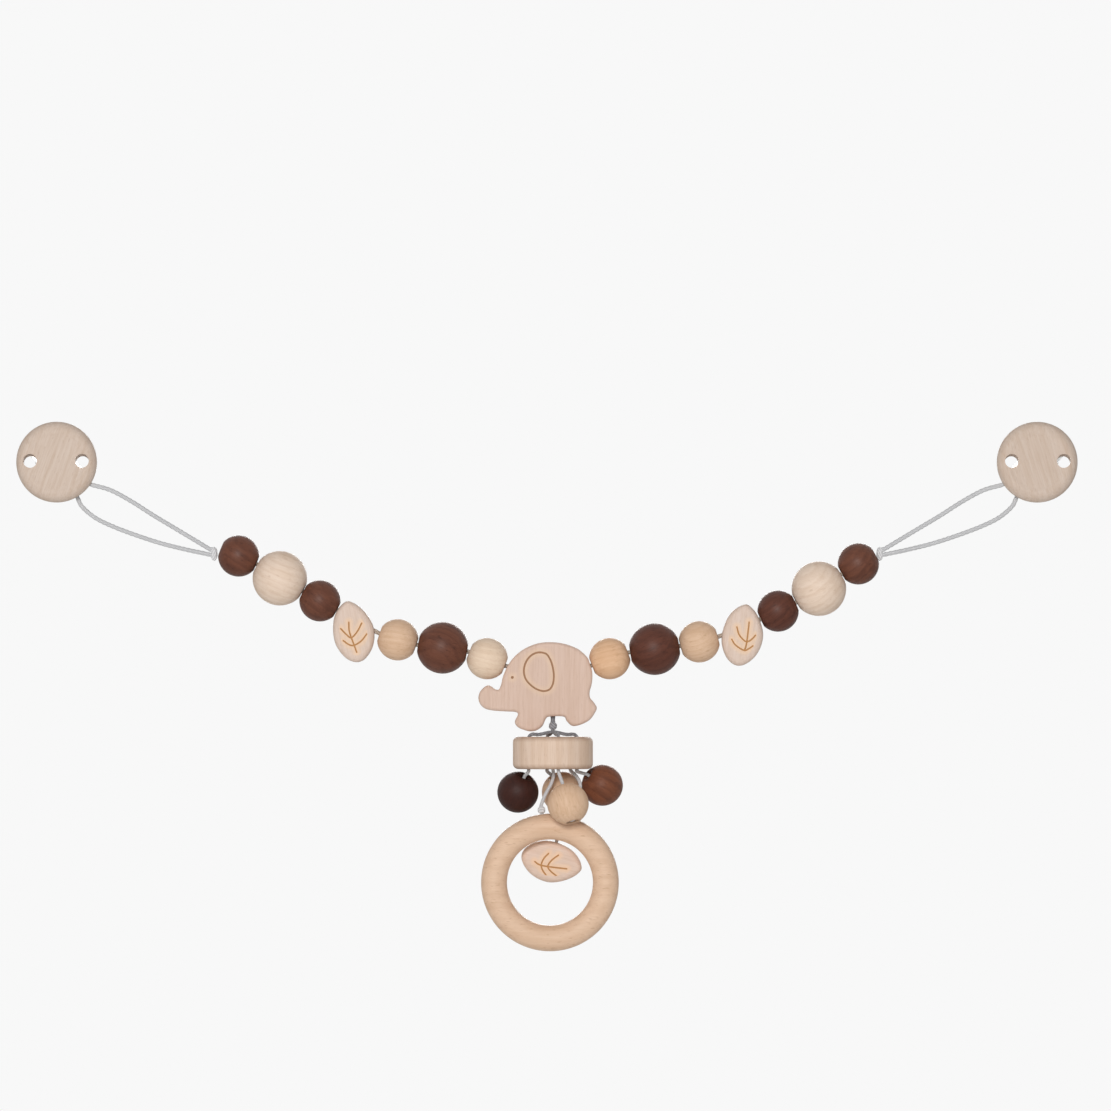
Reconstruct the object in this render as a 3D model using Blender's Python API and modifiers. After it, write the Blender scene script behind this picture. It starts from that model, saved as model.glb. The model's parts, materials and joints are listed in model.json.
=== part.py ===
"""Wooden pram chain toy, modelled as it hangs across a pram: two clips, a threaded chain and a pendant.

Metres, +Z up, +X along the chain, seen from the front along +Y. The origin is the left clip's jaw.
"""

import math

import bmesh
import bpy
from mathutils import Matrix, Vector

# Clearances, in metres like every size here
CLEARANCE = 0.0003
OVERRUN = 0.001
UNION_SINK = 0.0001

# Beads
SMALL_BEAD_RADIUS = 0.0091
MIDDLE_BEAD_RADIUS = 0.0114
LARGE_BEAD_RADIUS = 0.012
BEAD_END_RADIUS = 0.0035
BORE_RADIUS = 0.0019
MOUTH_RADIUS = 0.0025
MOUTH_DEPTH = 0.0006
CORD_RADIUS = 0.00095

# The chain's beads on each side, from the elephant outwards: size, wood, degrees that the bore
# rises, degrees that the link to the next bead rises, and what is threaded on that link
LEFT_CHAIN = (
    ("small", "natural", 22, 13.7, "nothing"),
    ("middle", "walnut", 9.5, 10.1, "nothing"),
    ("small", "natural", 19, 26.6, "leaf"),
    ("small", "walnut", 28, 29.4, "nothing"),
    ("large", "natural", 29.5, 28.4, "nothing"),
    ("small", "walnut", 22, 5, "knot"),
)
RIGHT_CHAIN = (
    ("small", "natural", 21, 12, "nothing"),
    ("middle", "walnut", 9, 9.3, "nothing"),
    ("small", "natural", 15, 21.3, "leaf"),
    ("small", "walnut", 25, 28.7, "nothing"),
    ("large", "natural", 30.5, 32.2, "nothing"),
    ("small", "walnut", 28, 25, "knot"),
)

# Leaf beads, cut from board
LEAF_LENGTH = 0.0275
LEAF_WIDTH = 0.0184
LEAF_THICKNESS = 0.011
LEAF_EDGE_RADIUS = 0.0025
LEAF_SPANS = {"left": 0.0207, "right": 0.0196}
LEAF_DROPS = {"left": 0.0049, "right": 0.0038}
LEAF_OUTWARDS = {"left": 0.0023, "right": 0.0018}
LEAF_LEANS = {"left": 11, "right": 8}
# The leaf's outline from its tip clockwise, as shares of half its width and half its length
LEAF_SHARES = (
    (0.0, 1.0),
    (0.24, 0.92),
    (0.47, 0.78),
    (0.69, 0.58),
    (0.87, 0.34),
    (0.98, 0.09),
    (0.98, -0.16),
    (0.90, -0.40),
    (0.75, -0.62),
    (0.54, -0.80),
    (0.33, -0.92),
    (0.12, -0.99),
    (-0.12, -1.0),
    (-0.36, -0.94),
    (-0.60, -0.81),
    (-0.81, -0.60),
    (-0.96, -0.34),
    (-1.0, -0.08),
    (-0.96, 0.19),
    (-0.86, 0.45),
    (-0.69, 0.68),
    (-0.46, 0.85),
    (-0.22, 0.96),
)

# Elephant, sawn from board; its outline runs clockwise from the trunk's tip, as shares of its
# length measured from the middle between its two neighbours
ELEPHANT_LENGTH = 0.0518
ELEPHANT_THICKNESS = 0.012
ELEPHANT_EDGE_RADIUS = 0.0015
BORE_DROP_SHARE = 0.0695
SIDE_SHARES = {"left": 0.3475, "right": 0.3425}
EYE_RADIUS = 0.0006
EYE_DEPTH = 0.0006
EYE_SHARES = (-0.309, -0.160)
ELEPHANT_SHARES = (
    (-0.516, -0.227),
    (-0.549, -0.244),
    (-0.582, -0.280),
    (-0.597, -0.331),
    (-0.583, -0.384),
    (-0.541, -0.424),
    (-0.470, -0.441),
    (-0.370, -0.448),
    (-0.284, -0.453),
    (-0.262, -0.474),
    (-0.288, -0.535),
    (-0.267, -0.578),
    (-0.219, -0.602),
    (-0.162, -0.617),
    (-0.105, -0.609),
    (-0.055, -0.573),
    (-0.022, -0.507),
    (0.012, -0.492),
    (0.125, -0.492),
    (0.152, -0.530),
    (0.200, -0.571),
    (0.272, -0.560),
    (0.347, -0.520),
    (0.392, -0.459),
    (0.407, -0.415),
    (0.378, -0.366),
    (0.350, -0.330),
    (0.347, -0.280),
    (0.360, -0.235),
    (0.369, -0.182),
    (0.368, -0.110),
    (0.349, -0.044),
    (0.325, 0.012),
    (0.249, 0.080),
    (0.137, 0.124),
    (0.025, 0.139),
    (-0.088, 0.130),
    (-0.200, 0.087),
    (-0.289, 0.019),
    (-0.349, -0.063),
    (-0.388, -0.152),
    (-0.406, -0.226),
    (-0.427, -0.264),
    (-0.461, -0.256),
    (-0.487, -0.236),
)

# Loops and clips
KNOT_LENGTH = 0.003
KNOT_HEIGHT = 0.0062
LOOP_SPREAD = 0.0023
LOOP_LIFT = 0.0008
CLIP_OUTWARD = 0.069
CLIP_RISE = 0.0402
CLIP_SLANT = 47
CLIP_RADIUS = 0.01775
CLIP_THICKNESS = 0.0055
CLIP_FACE_RADIUS = 0.0132
CLIP_BACK_EDGE = 0.0008
CLIP_FORWARD = 0.0033
VENT_RADIUS = 0.003
VENT_OFFSET = 0.0114
PLATE_THICKNESS = 0.0008
PLATE_WIDTH = 0.0132
PLATE_JAW_REACH = 0.011
PLATE_BAIL_REACH = 0.008
BAIL_REACH = 0.015
BAIL_RADIUS = 0.0008
BAIL_ARM_WIDTH = 0.001
BEND_RADIUS = 0.004
EAR_THICKNESS = 0.0007
EAR_WIDTH = 0.005
EAR_HEIGHT = 0.0072
PIN_RADIUS = 0.00075
PIN_HEAD_RADIUS = 0.0013
PIN_HEAD_THICKNESS = 0.0005
PIN_PLACE = 0.0055
PIN_HEIGHT = 0.0046
LEVER_WIDTH = 0.0104
LEVER_REACH = 0.0125
LEVER_THICKNESS = 0.0008
LEVER_KNUCKLE_RADIUS = 0.0019
NOSE_RADIUS = 0.0012
PAD_LENGTH = 0.007
PAD_WIDTH = 0.010
PAD_THICKNESS = 0.0009
SCREW_RADIUS = 0.0009
SCREW_HEAD_RADIUS = 0.0018
SCREW_HEAD_THICKNESS = 0.0009
SCREW_LENGTH = 0.0046
SCREW_PLACES = (0.0002, 0.0054)

# A loop's two strands from the knot outwards, chosen by hand: outwards, towards the back, up
UPPER_STRAND = (
    (0.0063, -0.0003, 0.0047),
    (0.0163, -0.0008, 0.0107),
    (0.0265, -0.0012, 0.0168),
    (0.0364, -0.0016, 0.0231),
    (0.0456, -0.0019, 0.028),
)
LOWER_STRAND = (
    (0.0053, 0.0002, 0.0004),
    (0.0124, 0.0004, 0.0019),
    (0.0229, 0.0007, 0.0045),
    (0.0335, 0.0011, 0.0079),
    (0.0442, 0.0015, 0.0119),
    (0.0524, 0.0018, 0.0159),
    (0.0583, 0.002, 0.0209),
)

# Pendant disc and the cords over it; the shares are of the elephant's length
PENDANT_SHARE = 0.035
BELLY_HOLE_RADIUS = 0.00175
BELLY_HOLE_DEPTH = 0.0038
HANGING_CORD_RADIUS = 0.001
HANGING_CORD_DEPTH = 0.0033
BELLY_SHARE = 0.4923
FOOT_SHARE = 0.617
GATHER_KNOT_RADIUS = 0.0016
GATHER_KNOT_DROP = 0.0041
THIN_CORD_RADIUS = 0.00075
SLING_FLAT_RADIUS = 0.006
DISC_RADIUS = 0.0176
DISC_THICKNESS = 0.0142
DISC_EDGE_RADIUS = 0.0024
DISC_GAP = 0.0024
DISC_HOLE_CIRCLE = 0.011
DISC_HOLE_TURN = 13
DISC_HOLE_RADIUS = 0.00135
STRAND_DEPTH = 0.001
STRAND_DROP = 0.0011

# Beads under the disc: wood, which hole, and the bead's centre from the disc's underside
PENDANT_BEADS = {
    "left": ("walnut", 180, (-0.0154, 0.003, -0.0102)),
    "right": ("walnut", 0, (0.0218, 0.0075, -0.0072)),
    "front": ("natural", 270, (0.0066, -0.0145, -0.0151)),
    "back": ("natural", 90, (0.0042, 0.0142, -0.0103)),
}
PENDANT_BORE_RADIUS = 0.0014
KNOT_RECESS_RADIUS = 0.0027
KNOT_RECESS_DEPTH = 0.0032
END_KNOT_RADIUS = 0.0021

# Teething ring and the leaf behind it
RING_RADIUS = 0.0303
RING_TUBE_RADIUS = 0.0057
RING_TOP = (-0.0013, 0, -0.0196)
RING_HOLE_TURN = 6.65
RING_HOLE_RADIUS = 0.0012
RING_HOLE_DEPTH = 0.0065
RING_KNOT_RADIUS = 0.0015
RING_CORD_POINTS = (
    (0, 0, 0.003),
    (0, 0, 0),
    (0.0003, 0, -0.003),
    (-0.0008, 0, -0.0065),
    (-0.0023, 0, -0.0093),
    (-0.0036, 0, -0.0118),
)
LEAF_HOLE_PLACE = (0.0077, 0.0064)
HANGING_LEAF_CENTRE = (-0.0006, 0.0119, -0.0412)
HANGING_LEAF_TILT = 13.6
LEAF_CORD_POINTS = (
    (0.0077, 0.0064, 0.003),
    (0.0077, 0.0064, -0.0004),
    (0.0102, 0.005, -0.003),
    (0.0121, 0.0035, -0.0068),
    (0.0112, 0.0033, -0.0112),
    (0.0085, 0.0045, -0.0168),
    (0.0056, 0.0072, -0.0225),
    (0.0035, 0.0102, -0.0272),
)

# How finely round things are divided
BEAD_STEPS = 16
DISC_STEPS = 32
HOLE_SIDES = 12
VENT_SIDES = 16
BEND_STEPS = 8
RING_STEPS = 40
RING_TUBE_SIDES = 12
SHARP_ANGLE = 40

COLOURS = {
    "natural": (0.66, 0.49, 0.32, 1),
    "pale": (0.72, 0.56, 0.42, 1),
    "walnut": (0.11, 0.045, 0.03, 1),
    "beech": (0.72, 0.49, 0.30, 1),
    "cord": (0.62, 0.62, 0.61, 1),
    "steel": (0.55, 0.55, 0.56, 1),
    "plastic": (0.75, 0.75, 0.73, 1),
}
ROUGHNESS = {
    "natural": 0.55,
    "pale": 0.6,
    "walnut": 0.5,
    "beech": 0.5,
    "cord": 0.8,
    "steel": 0.3,
    "plastic": 0.4,
}


def clear_scene():
    """Takes every object, and the collections that held them, out of the file."""
    for obj in list(bpy.data.objects):
        bpy.data.objects.remove(obj, do_unlink=True)
    for collection in list(bpy.data.collections):
        bpy.data.collections.remove(collection)


def new_collection(name):
    collection = bpy.data.collections.new(name)
    bpy.context.scene.collection.children.link(collection)
    return collection


def finish_material(name, finish):
    """A plain surface in the colour and gloss of the finish."""
    material = bpy.data.materials.new(name)
    material.use_nodes = True
    shader = material.node_tree.nodes["Principled BSDF"]
    shader.inputs["Base Color"].default_value = COLOURS[finish]
    shader.inputs["Roughness"].default_value = ROUGHNESS[finish]
    shader.inputs["Metallic"].default_value = float(finish == "steel")
    return material


def add_piece(name, mesh, finish, parent=None, place=(0, 0, 0), turn=(0, 0, 0)):
    """One named piece of the toy, in its own material."""
    piece = bpy.data.objects.new(name, mesh)
    mesh.materials.clear()
    mesh.materials.append(finish_material(name, finish))
    TOY.objects.link(piece)
    piece.parent = parent or TOY_FRAME
    piece.location = place
    piece.rotation_euler = turn
    return piece


def add_helper(name, mesh, parent=None, place=(0, 0, 0), turn=(0, 0, 0)):
    """A shape that only cuts or joins, so it is drawn as a wire and never rendered."""
    helper = bpy.data.objects.new(name, mesh)
    CUTTERS.objects.link(helper)
    helper.parent = parent or TOY_FRAME
    helper.location = place
    helper.rotation_euler = turn
    helper.hide_render = True
    helper.display_type = "WIRE"
    return helper


def combine(piece, helper, operation):
    modifier = piece.modifiers.new(helper.name, "BOOLEAN")
    modifier.operation = operation
    modifier.solver = "EXACT"
    modifier.object = helper


def cut(piece, helper):
    combine(piece, helper, "DIFFERENCE")


def join(piece, helper):
    combine(piece, helper, "UNION")


def bmesh_to_mesh(name, shape):
    mesh = bpy.data.meshes.new(name)
    shape.to_mesh(mesh)
    shape.free()
    return mesh


def rod_mesh(name, radius, length, sides=HOLE_SIDES):
    """A cylinder along Z, centred on its origin."""
    shape = bmesh.new()
    bmesh.ops.create_cone(
        shape, cap_ends=True, segments=sides, radius1=radius, radius2=radius, depth=length
    )
    return bmesh_to_mesh(name, shape)


def box_mesh(name, low, high):
    """A box between two opposite corners."""
    shape = bmesh.new()
    size = [far - near for near, far in zip(low, high)]
    middle = [(far + near) / 2 for near, far in zip(low, high)]
    placed = Matrix.Translation(middle) @ Matrix.Diagonal((*size, 1))
    bmesh.ops.create_cube(shape, size=1, matrix=placed)
    return bmesh_to_mesh(name, shape)


def turned_piece(name, profile, finish, steps, closed, **placing):
    """A piece turned about Z. The profile holds (radius, height) and runs down its outer side."""
    mesh = bpy.data.meshes.new(name)
    points = [(radius, 0, height) for radius, height in profile]
    edges = [(i, i + 1) for i in range(len(points) - 1)]
    if closed:
        edges.append((len(points) - 1, 0))
    mesh.from_pydata(points, edges, [])
    piece = add_piece(name, mesh, finish, **placing)
    screw = piece.modifiers.new("turning", "SCREW")
    screw.axis = "Z"
    screw.angle = math.tau
    screw.steps = steps
    screw.render_steps = steps
    screw.use_merge_vertices = True
    screw.merge_threshold = UNION_SINK / 2
    return piece


def arc(centre, radius, start, end, count):
    """Points of a turned profile along an arc, with its angles in degrees from the outward axis."""
    angles = [math.radians(start + (end - start) * i / (count - 1)) for i in range(count)]
    return [(centre[0] + radius * math.cos(a), centre[1] + radius * math.sin(a)) for a in angles]


def smooth_points(points, steps, closed=False):
    """Points on a Catmull-Rom curve that passes through the given ones."""
    nodes = [Vector(point) for point in points]
    if closed:
        nodes = [nodes[-1], *nodes, nodes[0], nodes[1]]
    else:
        nodes = [2 * nodes[0] - nodes[1], *nodes, 2 * nodes[-1] - nodes[-2]]
    path = []
    for a, b, c, d in zip(nodes, nodes[1:], nodes[2:], nodes[3:]):
        for i in range(steps):
            t = i / steps
            squared = (2 * a - 5 * b + 4 * c - d) * t**2
            cubed = (3 * b - a - 3 * c + d) * t**3
            path.append((2 * b + (c - a) * t + squared + cubed) / 2)
    if not closed:
        path.append(nodes[-2])
    return path


def cord_piece(name, points, radius, origin=(0, 0, 0), swells=None):
    """A cord along the points, with its origin where it turns, and a knot where a swell widens it."""
    curve = bpy.data.curves.new(name, "CURVE")
    curve.dimensions = "3D"
    curve.bevel_depth = radius
    curve.bevel_resolution = 2
    curve.use_fill_caps = True
    spline = curve.splines.new("POLY")
    spline.points.add(len(points) - 1)
    for i, point in enumerate(points):
        spline.points[i].co = (*(Vector(point) - Vector(origin)), 1)
        spline.points[i].radius = swells[i] if swells else 1
    cord = bpy.data.objects.new(name, curve)
    curve.materials.append(finish_material(name, "cord"))
    TOY.objects.link(cord)
    cord.parent = TOY_FRAME
    cord.location = origin
    return cord


def board_mesh(name, shares, half_width, half_height, thickness, edge_radius, steps):
    """A flat shape sawn from board, in the XZ plane, with its edges rounded."""
    outline = [(across * half_width, up * half_height, 0) for across, up in shares]
    curve = bpy.data.curves.new(name, "CURVE")
    curve.dimensions = "2D"
    curve.fill_mode = "BOTH"
    curve.extrude = thickness / 2 - edge_radius
    curve.bevel_depth = edge_radius
    curve.bevel_resolution = 1
    curve.offset = -edge_radius
    spline = curve.splines.new("POLY")
    path = smooth_points(outline, steps, closed=True)
    spline.points.add(len(path) - 1)
    for i, point in enumerate(path):
        spline.points[i].co = (*point, 1)
    spline.use_cyclic_u = True
    drawn = bpy.data.objects.new(name, curve)
    CUTTERS.objects.link(drawn)
    mesh = welded_mesh(drawn)
    mesh.transform(Matrix.Rotation(math.radians(90), 4, "X"))
    return mesh


def welded_mesh(drawn):
    """The closed mesh of a drawn curve, in place of the curve."""
    bpy.context.view_layer.update()
    mesh = bpy.data.meshes.new_from_object(drawn.evaluated_get(bpy.context.evaluated_depsgraph_get()))
    shape = bmesh.new()
    shape.from_mesh(mesh)
    bmesh.ops.remove_doubles(shape, verts=shape.verts, dist=UNION_SINK / 10)
    bmesh.ops.recalc_face_normals(shape, faces=shape.faces)
    shape.to_mesh(mesh)
    shape.free()
    curve = drawn.data
    bpy.data.objects.remove(drawn, do_unlink=True)
    bpy.data.curves.remove(curve)
    return mesh


def rising(degrees, side):
    """The direction in the chain's plane that leads outwards on a side and rises by an angle."""
    angle = math.radians(degrees)
    return Vector((side * math.cos(angle), 0, math.sin(angle)))


def along(direction):
    """The turn that lays a piece's Z axis along a direction."""
    return direction.to_track_quat("Z", "Y").to_euler()


def bead_radius(size):
    return {"small": SMALL_BEAD_RADIUS, "middle": MIDDLE_BEAD_RADIUS, "large": LARGE_BEAD_RADIUS}[size]


def bead_half_length(radius):
    """Half the bore's length: the turned ball is flat round each end of its bore."""
    return math.sqrt(radius**2 - BEAD_END_RADIUS**2)


def bead_reach(radius, tilt):
    """How far the bead reaches along a line that its bore is tilted from."""
    flat = math.asin(BEAD_END_RADIUS / radius)
    return radius * math.cos(max(flat - math.radians(abs(tilt)), 0))


def bead(name, radius, bore_radius, wood, place, direction, recessed=False):
    """A turned wooden ball with a bore, flat ends and eased mouths, or a recess for a knot."""
    half = bead_half_length(radius)
    rim = math.degrees(math.acos(BEAD_END_RADIUS / radius))
    profile = [(MOUTH_RADIUS, half), *arc((0, 0), radius, rim, -rim, 8)]
    if recessed:
        top = KNOT_RECESS_DEPTH - half
        profile += [(KNOT_RECESS_RADIUS, -half), (KNOT_RECESS_RADIUS, top), (bore_radius, top)]
    else:
        profile += [(MOUTH_RADIUS, -half), (bore_radius, MOUTH_DEPTH - half)]
    profile.append((bore_radius, half - MOUTH_DEPTH))
    return turned_piece(name, profile, wood, BEAD_STEPS, True, place=place, turn=along(direction))


def leaf(name, place, turn, bore_start, bore_end, bore_radius):
    """A leaf bead with its origin on its bore, which lies between two points of the toy's frame."""
    mesh = board_mesh(
        name, LEAF_SHARES, LEAF_WIDTH / 2, LEAF_LENGTH / 2, LEAF_THICKNESS, LEAF_EDGE_RADIUS, 1
    )
    pivot = (bore_start + bore_end) / 2
    off_bore = Matrix.Rotation(-turn, 4, "Y") @ (place - pivot)
    mesh.transform(Matrix.Translation(off_bore))
    piece = add_piece(name, mesh, "pale", place=pivot, turn=(0, turn, 0))
    bore = bore_end - bore_start
    drill = rod_mesh(name + "_drill", bore_radius, bore.length + LEAF_LENGTH)
    cut(piece, add_helper(name + "_drill", drill, place=pivot, turn=along(bore)))


def chain_places(side_name, side, chain):
    """Where each bead of a side sits, outwards from the elephant, and the knot after the last one."""
    place = Vector((side * first_reach(side_name), 0, 0))
    places = [place]
    for row, (size, _, bore_rise, link_rise, threaded) in enumerate(chain):
        step = bead_reach(bead_radius(size), bore_rise - link_rise) + CLEARANCE
        if threaded == "knot":
            step += KNOT_LENGTH / 2
        else:
            next_size, _, next_rise, _, _ = chain[row + 1]
            step += bead_reach(bead_radius(next_size), next_rise - link_rise)
        if threaded == "leaf":
            step += LEAF_SPANS[side_name]
        place = place + rising(link_rise, side) * step
        places.append(place)
    return places


def chain_side(side_name, side, chain, places):
    """Threads one side of the chain from the elephant outwards, and returns the cord's points."""
    cord = []
    leaf_follows = False
    for row, (size, wood, bore_rise, _, threaded) in enumerate(chain):
        radius = bead_radius(size)
        half = bead_half_length(radius)
        bore = rising(bore_rise, side)
        place = places[row]
        inner = place - half * bore
        if leaf_follows:
            chain_leaf(side_name, side, outer, inner, (places[row - 1] + place) / 2)
            cord += [outer, inner]
        elif row:
            cord.append((outer + inner) / 2)
        else:
            cord.append(inner)
        outer = place + half * bore
        leaf_follows = threaded == "leaf"
        bead(f"{side_name}_bead_{row + 1}", radius, BORE_RADIUS, wood, place, bore)
        cord += [place - bore * half / 2, place + bore * half / 2]
    return [*cord, outer]


def chain_leaf(side_name, side, start, end, middle):
    """A leaf between two beads, hanging a little below the cord that it is threaded on."""
    place = middle + Vector((side * LEAF_OUTWARDS[side_name], 0, -LEAF_DROPS[side_name]))
    lean = side * math.radians(LEAF_LEANS[side_name])
    leaf(side_name + "_leaf_bead", place, lean, start, end, BORE_RADIUS)


def first_reach(side_name):
    """How far from the middle the first bead of a side sits, against the elephant."""
    return SIDE_SHARES[side_name] * ELEPHANT_LENGTH + SMALL_BEAD_RADIUS


def pendant_axis():
    """The upright line that the pendant hangs on."""
    return Vector((PENDANT_SHARE * ELEPHANT_LENGTH, 0, 0))


def belly_drop():
    """How far under the middle the elephant's belly is."""
    return BELLY_SHARE * ELEPHANT_LENGTH


def gather_knot_drop():
    return belly_drop() + GATHER_KNOT_DROP


def disc_drop():
    """How far under the middle the pendant disc's top is, clear of the elephant's feet."""
    return FOOT_SHARE * ELEPHANT_LENGTH + DISC_GAP


def elephant():
    """The elephant, sawn from board, with a bore for the chain and a hole for the hanging cord."""
    mesh = board_mesh(
        "elephant",
        ELEPHANT_SHARES,
        ELEPHANT_LENGTH,
        ELEPHANT_LENGTH,
        ELEPHANT_THICKNESS,
        ELEPHANT_EDGE_RADIUS,
        1,
    )
    axis = Vector((0, 0, -BORE_DROP_SHARE * ELEPHANT_LENGTH))
    mesh.transform(Matrix.Translation(-axis))
    piece = add_piece("elephant", mesh, "pale", place=axis)
    drill = rod_mesh("elephant_drill", BORE_RADIUS, 2 * ELEPHANT_LENGTH)
    cut(piece, add_helper("elephant_drill", drill, place=axis, turn=along(Vector((1, 0, 0)))))
    belly = rod_mesh("belly_drill", BELLY_HOLE_RADIUS, 2 * BELLY_HOLE_DEPTH)
    cut(piece, add_helper("belly_drill", belly, place=pendant_axis() - Vector((0, 0, belly_drop()))))
    for side in (-1, 1):
        eye = rod_mesh("eye_drill", EYE_RADIUS, 2 * EYE_DEPTH)
        place = (
            EYE_SHARES[0] * ELEPHANT_LENGTH,
            side * ELEPHANT_THICKNESS / 2,
            EYE_SHARES[1] * ELEPHANT_LENGTH,
        )
        cut(piece, add_helper("eye_drill", eye, place=place, turn=(math.radians(90), 0, 0)))


def main_cord(left_points, right_points, bail):
    """The cord that threads every bead, from one end bead's mouth to the other's."""
    bore_z = -BORE_DROP_SHARE * ELEPHANT_LENGTH
    half = ELEPHANT_LENGTH / 4
    middle = [Vector((-half, 0, bore_z)), Vector((0, 0, bore_z)), Vector((half, 0, bore_z))]
    cord_piece("main_cord", [*reversed(left_points), *middle, *right_points], CORD_RADIUS, bail)


def end_knot(side_name, place):
    """The knot that closes a loop, taller than it is long."""
    shape = bmesh.new()
    scale = Matrix.Diagonal((KNOT_LENGTH / 2, KNOT_HEIGHT / 4, KNOT_HEIGHT / 2, 1))
    bmesh.ops.create_uvsphere(shape, u_segments=12, v_segments=8, radius=1, matrix=scale)
    name = side_name + "_loop_knot"
    add_piece(name, bmesh_to_mesh(name, shape), "cord", place=place)


def bail_direction():
    """The direction from the left clip's centre to its bail, mirrored on the right."""
    slant = math.radians(CLIP_SLANT)
    return Vector((math.cos(slant), 0, -math.sin(slant)))


def bail_place(side, knot):
    """The middle of a clip's bail, where the chain swings."""
    lead = bail_direction() * BAIL_REACH
    return knot + Vector((side * (CLIP_OUTWARD - lead.x), 0, CLIP_RISE + lead.z))


def loop_points(side):
    """A loop from the knot along its upper strand, round behind the bail and back, from the knot."""
    toward = bail_direction() * Vector((-1, 0, 1))
    across = Vector((toward.z, 0, -toward.x))
    centre = Vector((CLIP_OUTWARD, 0, CLIP_RISE))
    depth = BAIL_RADIUS + CORD_RADIUS + CLEARANCE
    before_bail = BAIL_REACH + BAIL_RADIUS + CORD_RADIUS
    behind_bail = BAIL_REACH - BAIL_RADIUS - CORD_RADIUS
    turn = [(before_bail, 0)]
    for i in range(BEND_STEPS + 1):
        angle = math.pi * i / BEND_STEPS
        turn.append((behind_bail - BEND_RADIUS * math.sin(angle), angle))
    turn.append((before_bail, math.pi))
    start = KNOT_LENGTH / 2 + CLEARANCE
    points = [(start, 0, LOOP_LIFT + LOOP_SPREAD / 2), *UPPER_STRAND]
    for reach, angle in turn:
        place = centre + toward * reach + across * BEND_RADIUS * math.cos(angle)
        points.append(place - Vector((0, depth * math.cos(angle), 0)))
    points += [*reversed(LOWER_STRAND), (start, 0, LOOP_LIFT - LOOP_SPREAD / 2)]
    return [Vector((side * x, y, z)) for x, y, z in smooth_points(points, 2)]


def loop_cord(side_name, side, knot):
    points = [knot + point for point in loop_points(side)]
    cord_piece(side_name + "_loop_cord", points, CORD_RADIUS, bail_place(side, knot))


def clip(side_name, side, centre):
    """A clip: a turned disc, a sprung steel jaw behind it, and the bail that the loop hangs on.

    Local X leads to the bail, Y to the back and Z across.
    """
    slant = math.radians(CLIP_SLANT if side < 0 else 180 - CLIP_SLANT)
    frame = bpy.data.objects.new(side_name + "_clip_frame", None)
    TOY.objects.link(frame)
    frame.parent = TOY_FRAME
    frame.location = centre
    frame.rotation_euler = (0, slant, 0)
    clip_disc(side_name, frame, slant)
    clip_jaw(side_name, frame)
    clip_lever(side_name, frame)
    clip_pin(side_name, frame)
    for i, place in enumerate(SCREW_PLACES):
        clip_screw(f"{side_name}_clip_screw_{i + 1}", frame, place)
    return frame


def clip_disc(side_name, frame, slant):
    """The clip's turned disc with two vent holes, level with each other, and the screws' holes."""
    name = side_name + "_clip_disc"
    back = -CLIP_FORWARD
    level = Vector((VENT_OFFSET * math.cos(slant), 0, VENT_OFFSET * math.sin(slant)))
    middle = Vector((0, back - CLIP_THICKNESS / 2, 0))
    drilled = (math.radians(90), 0, 0)
    bulge = CLIP_RADIUS - CLIP_FACE_RADIUS
    height = CLIP_THICKNESS - CLIP_BACK_EDGE
    angles = [math.radians(90 - 90 * i / 5) for i in range(6)]
    rim = [
        (CLIP_FACE_RADIUS + bulge * math.cos(a), CLIP_BACK_EDGE + height * math.sin(a)) for a in angles
    ]
    profile = [(0, CLIP_THICKNESS), *rim, (CLIP_RADIUS - CLIP_BACK_EDGE, 0), (0, 0)]
    disc = turned_piece(
        name, profile, "pale", DISC_STEPS, False, parent=frame, place=(0, back, 0), turn=drilled
    )
    for way in (-1, 1):
        vent = rod_mesh(name + "_vent", VENT_RADIUS, CLIP_THICKNESS + 2 * OVERRUN, VENT_SIDES)
        cut(disc, add_helper(name + "_vent", vent, frame, middle + way * level, drilled))
    for reach in SCREW_PLACES:
        hole = rod_mesh(name + "_pilot", SCREW_RADIUS + CLEARANCE, 2 * SCREW_LENGTH)
        cut(disc, add_helper(name + "_pilot", hole, frame, (reach, plate_top(), 0), drilled))


def plate_top():
    """Where the jaw plate's outer face lies behind the chain's plane."""
    return CLEARANCE + PLATE_THICKNESS - CLIP_FORWARD


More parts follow.
